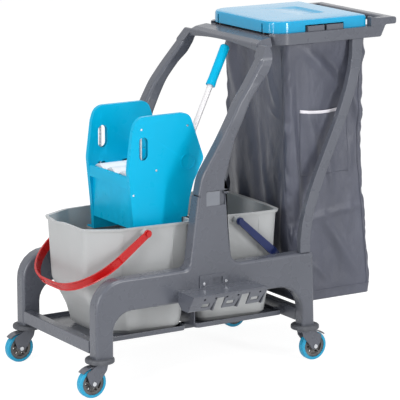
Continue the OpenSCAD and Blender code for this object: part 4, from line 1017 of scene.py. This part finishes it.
def studioWhite(tree, shader, output, strength, amount):
    # White where the camera, a reflection or clear plastic looks at it, plain for the light it gives
    path = addNode(tree, "ShaderNodeLightPath", (-600, 300))
    glow = addNode(tree, "ShaderNodeEmission", (-200, -200), Strength=strength)
    seen = addNode(tree, "ShaderNodeMath", (-400, 300), operation="MAXIMUM")
    seenAll = addNode(tree, "ShaderNodeMath", (-250, 300), operation="MAXIMUM")
    part = addNode(tree, "ShaderNodeMath", (-100, 300), operation="MULTIPLY")
    blend = addNode(tree, "ShaderNodeMixShader", (50, 0))
    part.inputs[1].default_value = amount
    tree.links.new(path.outputs["Is Camera Ray"], seen.inputs[0])
    tree.links.new(path.outputs["Is Glossy Ray"], seen.inputs[1])
    tree.links.new(seen.outputs[0], seenAll.inputs[0])
    tree.links.new(path.outputs["Is Transmission Ray"], seenAll.inputs[1])
    tree.links.new(seenAll.outputs[0], part.inputs[0])
    tree.links.new(part.outputs[0], blend.inputs["Fac"])
    tree.links.new(shader.outputs[0], blend.inputs[1])
    tree.links.new(glow.outputs[0], blend.inputs[2])
    tree.links.new(blend.outputs[0], output.inputs["Surface"])


floorFinish = bpy.data.materials.new("studioFloor")
floorFinish.use_nodes = True
tree = floorFinish.node_tree
plain = tree.nodes["Principled BSDF"]
plain.inputs["Base Color"].default_value = (floorLook["white"],) * 3 + (1,)
plain.inputs["Roughness"].default_value = floorLook["rough"]
studioWhite(tree, plain, tree.nodes["Material Output"], floorLook["glow"], 1 - floorLook["shadow"])
floor.data.materials.append(floorFinish)

roomLook = {"fill": 0.27, "white": 1.06}
room = bpy.data.worlds.new("studio")
bpy.context.scene.world = room
room.use_nodes = True
tree = room.node_tree
plain = tree.nodes["Background"]
plain.inputs["Color"].default_value = (1, 1, 1, 1)
plain.inputs["Strength"].default_value = roomLook["fill"]
studioWhite(tree, plain, tree.nodes["World Output"], roomLook["white"], 1.0)

lamps = {
    "leftSoftbox": {"from": (-4.2, -2.0, 2.2), "at": (0, 0, 0.5), "size": (0.9, 2.2), "power": 80},
    "topSoftbox": {"from": (0.4, -0.8, 4.2), "at": (0.1, 0, 0.4), "size": (2.2, 2.2), "power": 100},
    "rightStrip": {"from": (1.6, -4.4, 1.6), "at": (0.2, 0, 0.5), "size": (0.5, 2.2), "power": 96},
    "edgeStrip": {"from": (-1.9, -1.2, 0.86), "at": (0, 0, 0.7), "size": (0.13, 1.65), "power": 8},
    "cornerStrip": {"from": (-2.3, -0.25, 0.86), "at": (0, 0, 0.7), "size": (0.13, 1.65), "power": 8},
}
for name, lamp in lamps.items():
    bpy.ops.object.light_add(type="AREA", location=lamp["from"])
    light = bpy.context.active_object
    light.name = name
    light.data.shape = "RECTANGLE"
    light.data.size, light.data.size_y = lamp["size"]
    light.data.energy = lamp["power"]
    aim = Vector(lamp["at"]) - Vector(lamp["from"])
    light.rotation_euler = aim.to_track_quat("-Z", "Y").to_euler()

cameraLook = {"from": (-3.8363, -6.3848, 2.1220), "right": (0.8497, -0.5272, 0.0),
              "back": (-0.5153, -0.8305, 0.2113), "lens": 222.4, "sensor": 36,
              "sees": 100}
bpy.ops.object.camera_add(location=cameraLook["from"])
camera = bpy.context.active_object
right, back = Vector(cameraLook["right"]).normalized(), Vector(cameraLook["back"]).normalized()
up = back.cross(right).normalized()
right = up.cross(back)
camera.matrix_world = Matrix((
    (right.x, up.x, back.x, cameraLook["from"][0]), (right.y, up.y, back.y, cameraLook["from"][1]),
    (right.z, up.z, back.z, cameraLook["from"][2]), (0, 0, 0, 1)))
camera.data.lens = cameraLook["lens"]
camera.data.sensor_width = cameraLook["sensor"]
camera.data.clip_end = cameraLook["sees"]
bpy.context.scene.camera = camera
bpy.context.scene.view_settings.view_transform = "Standard"
note("studio set")
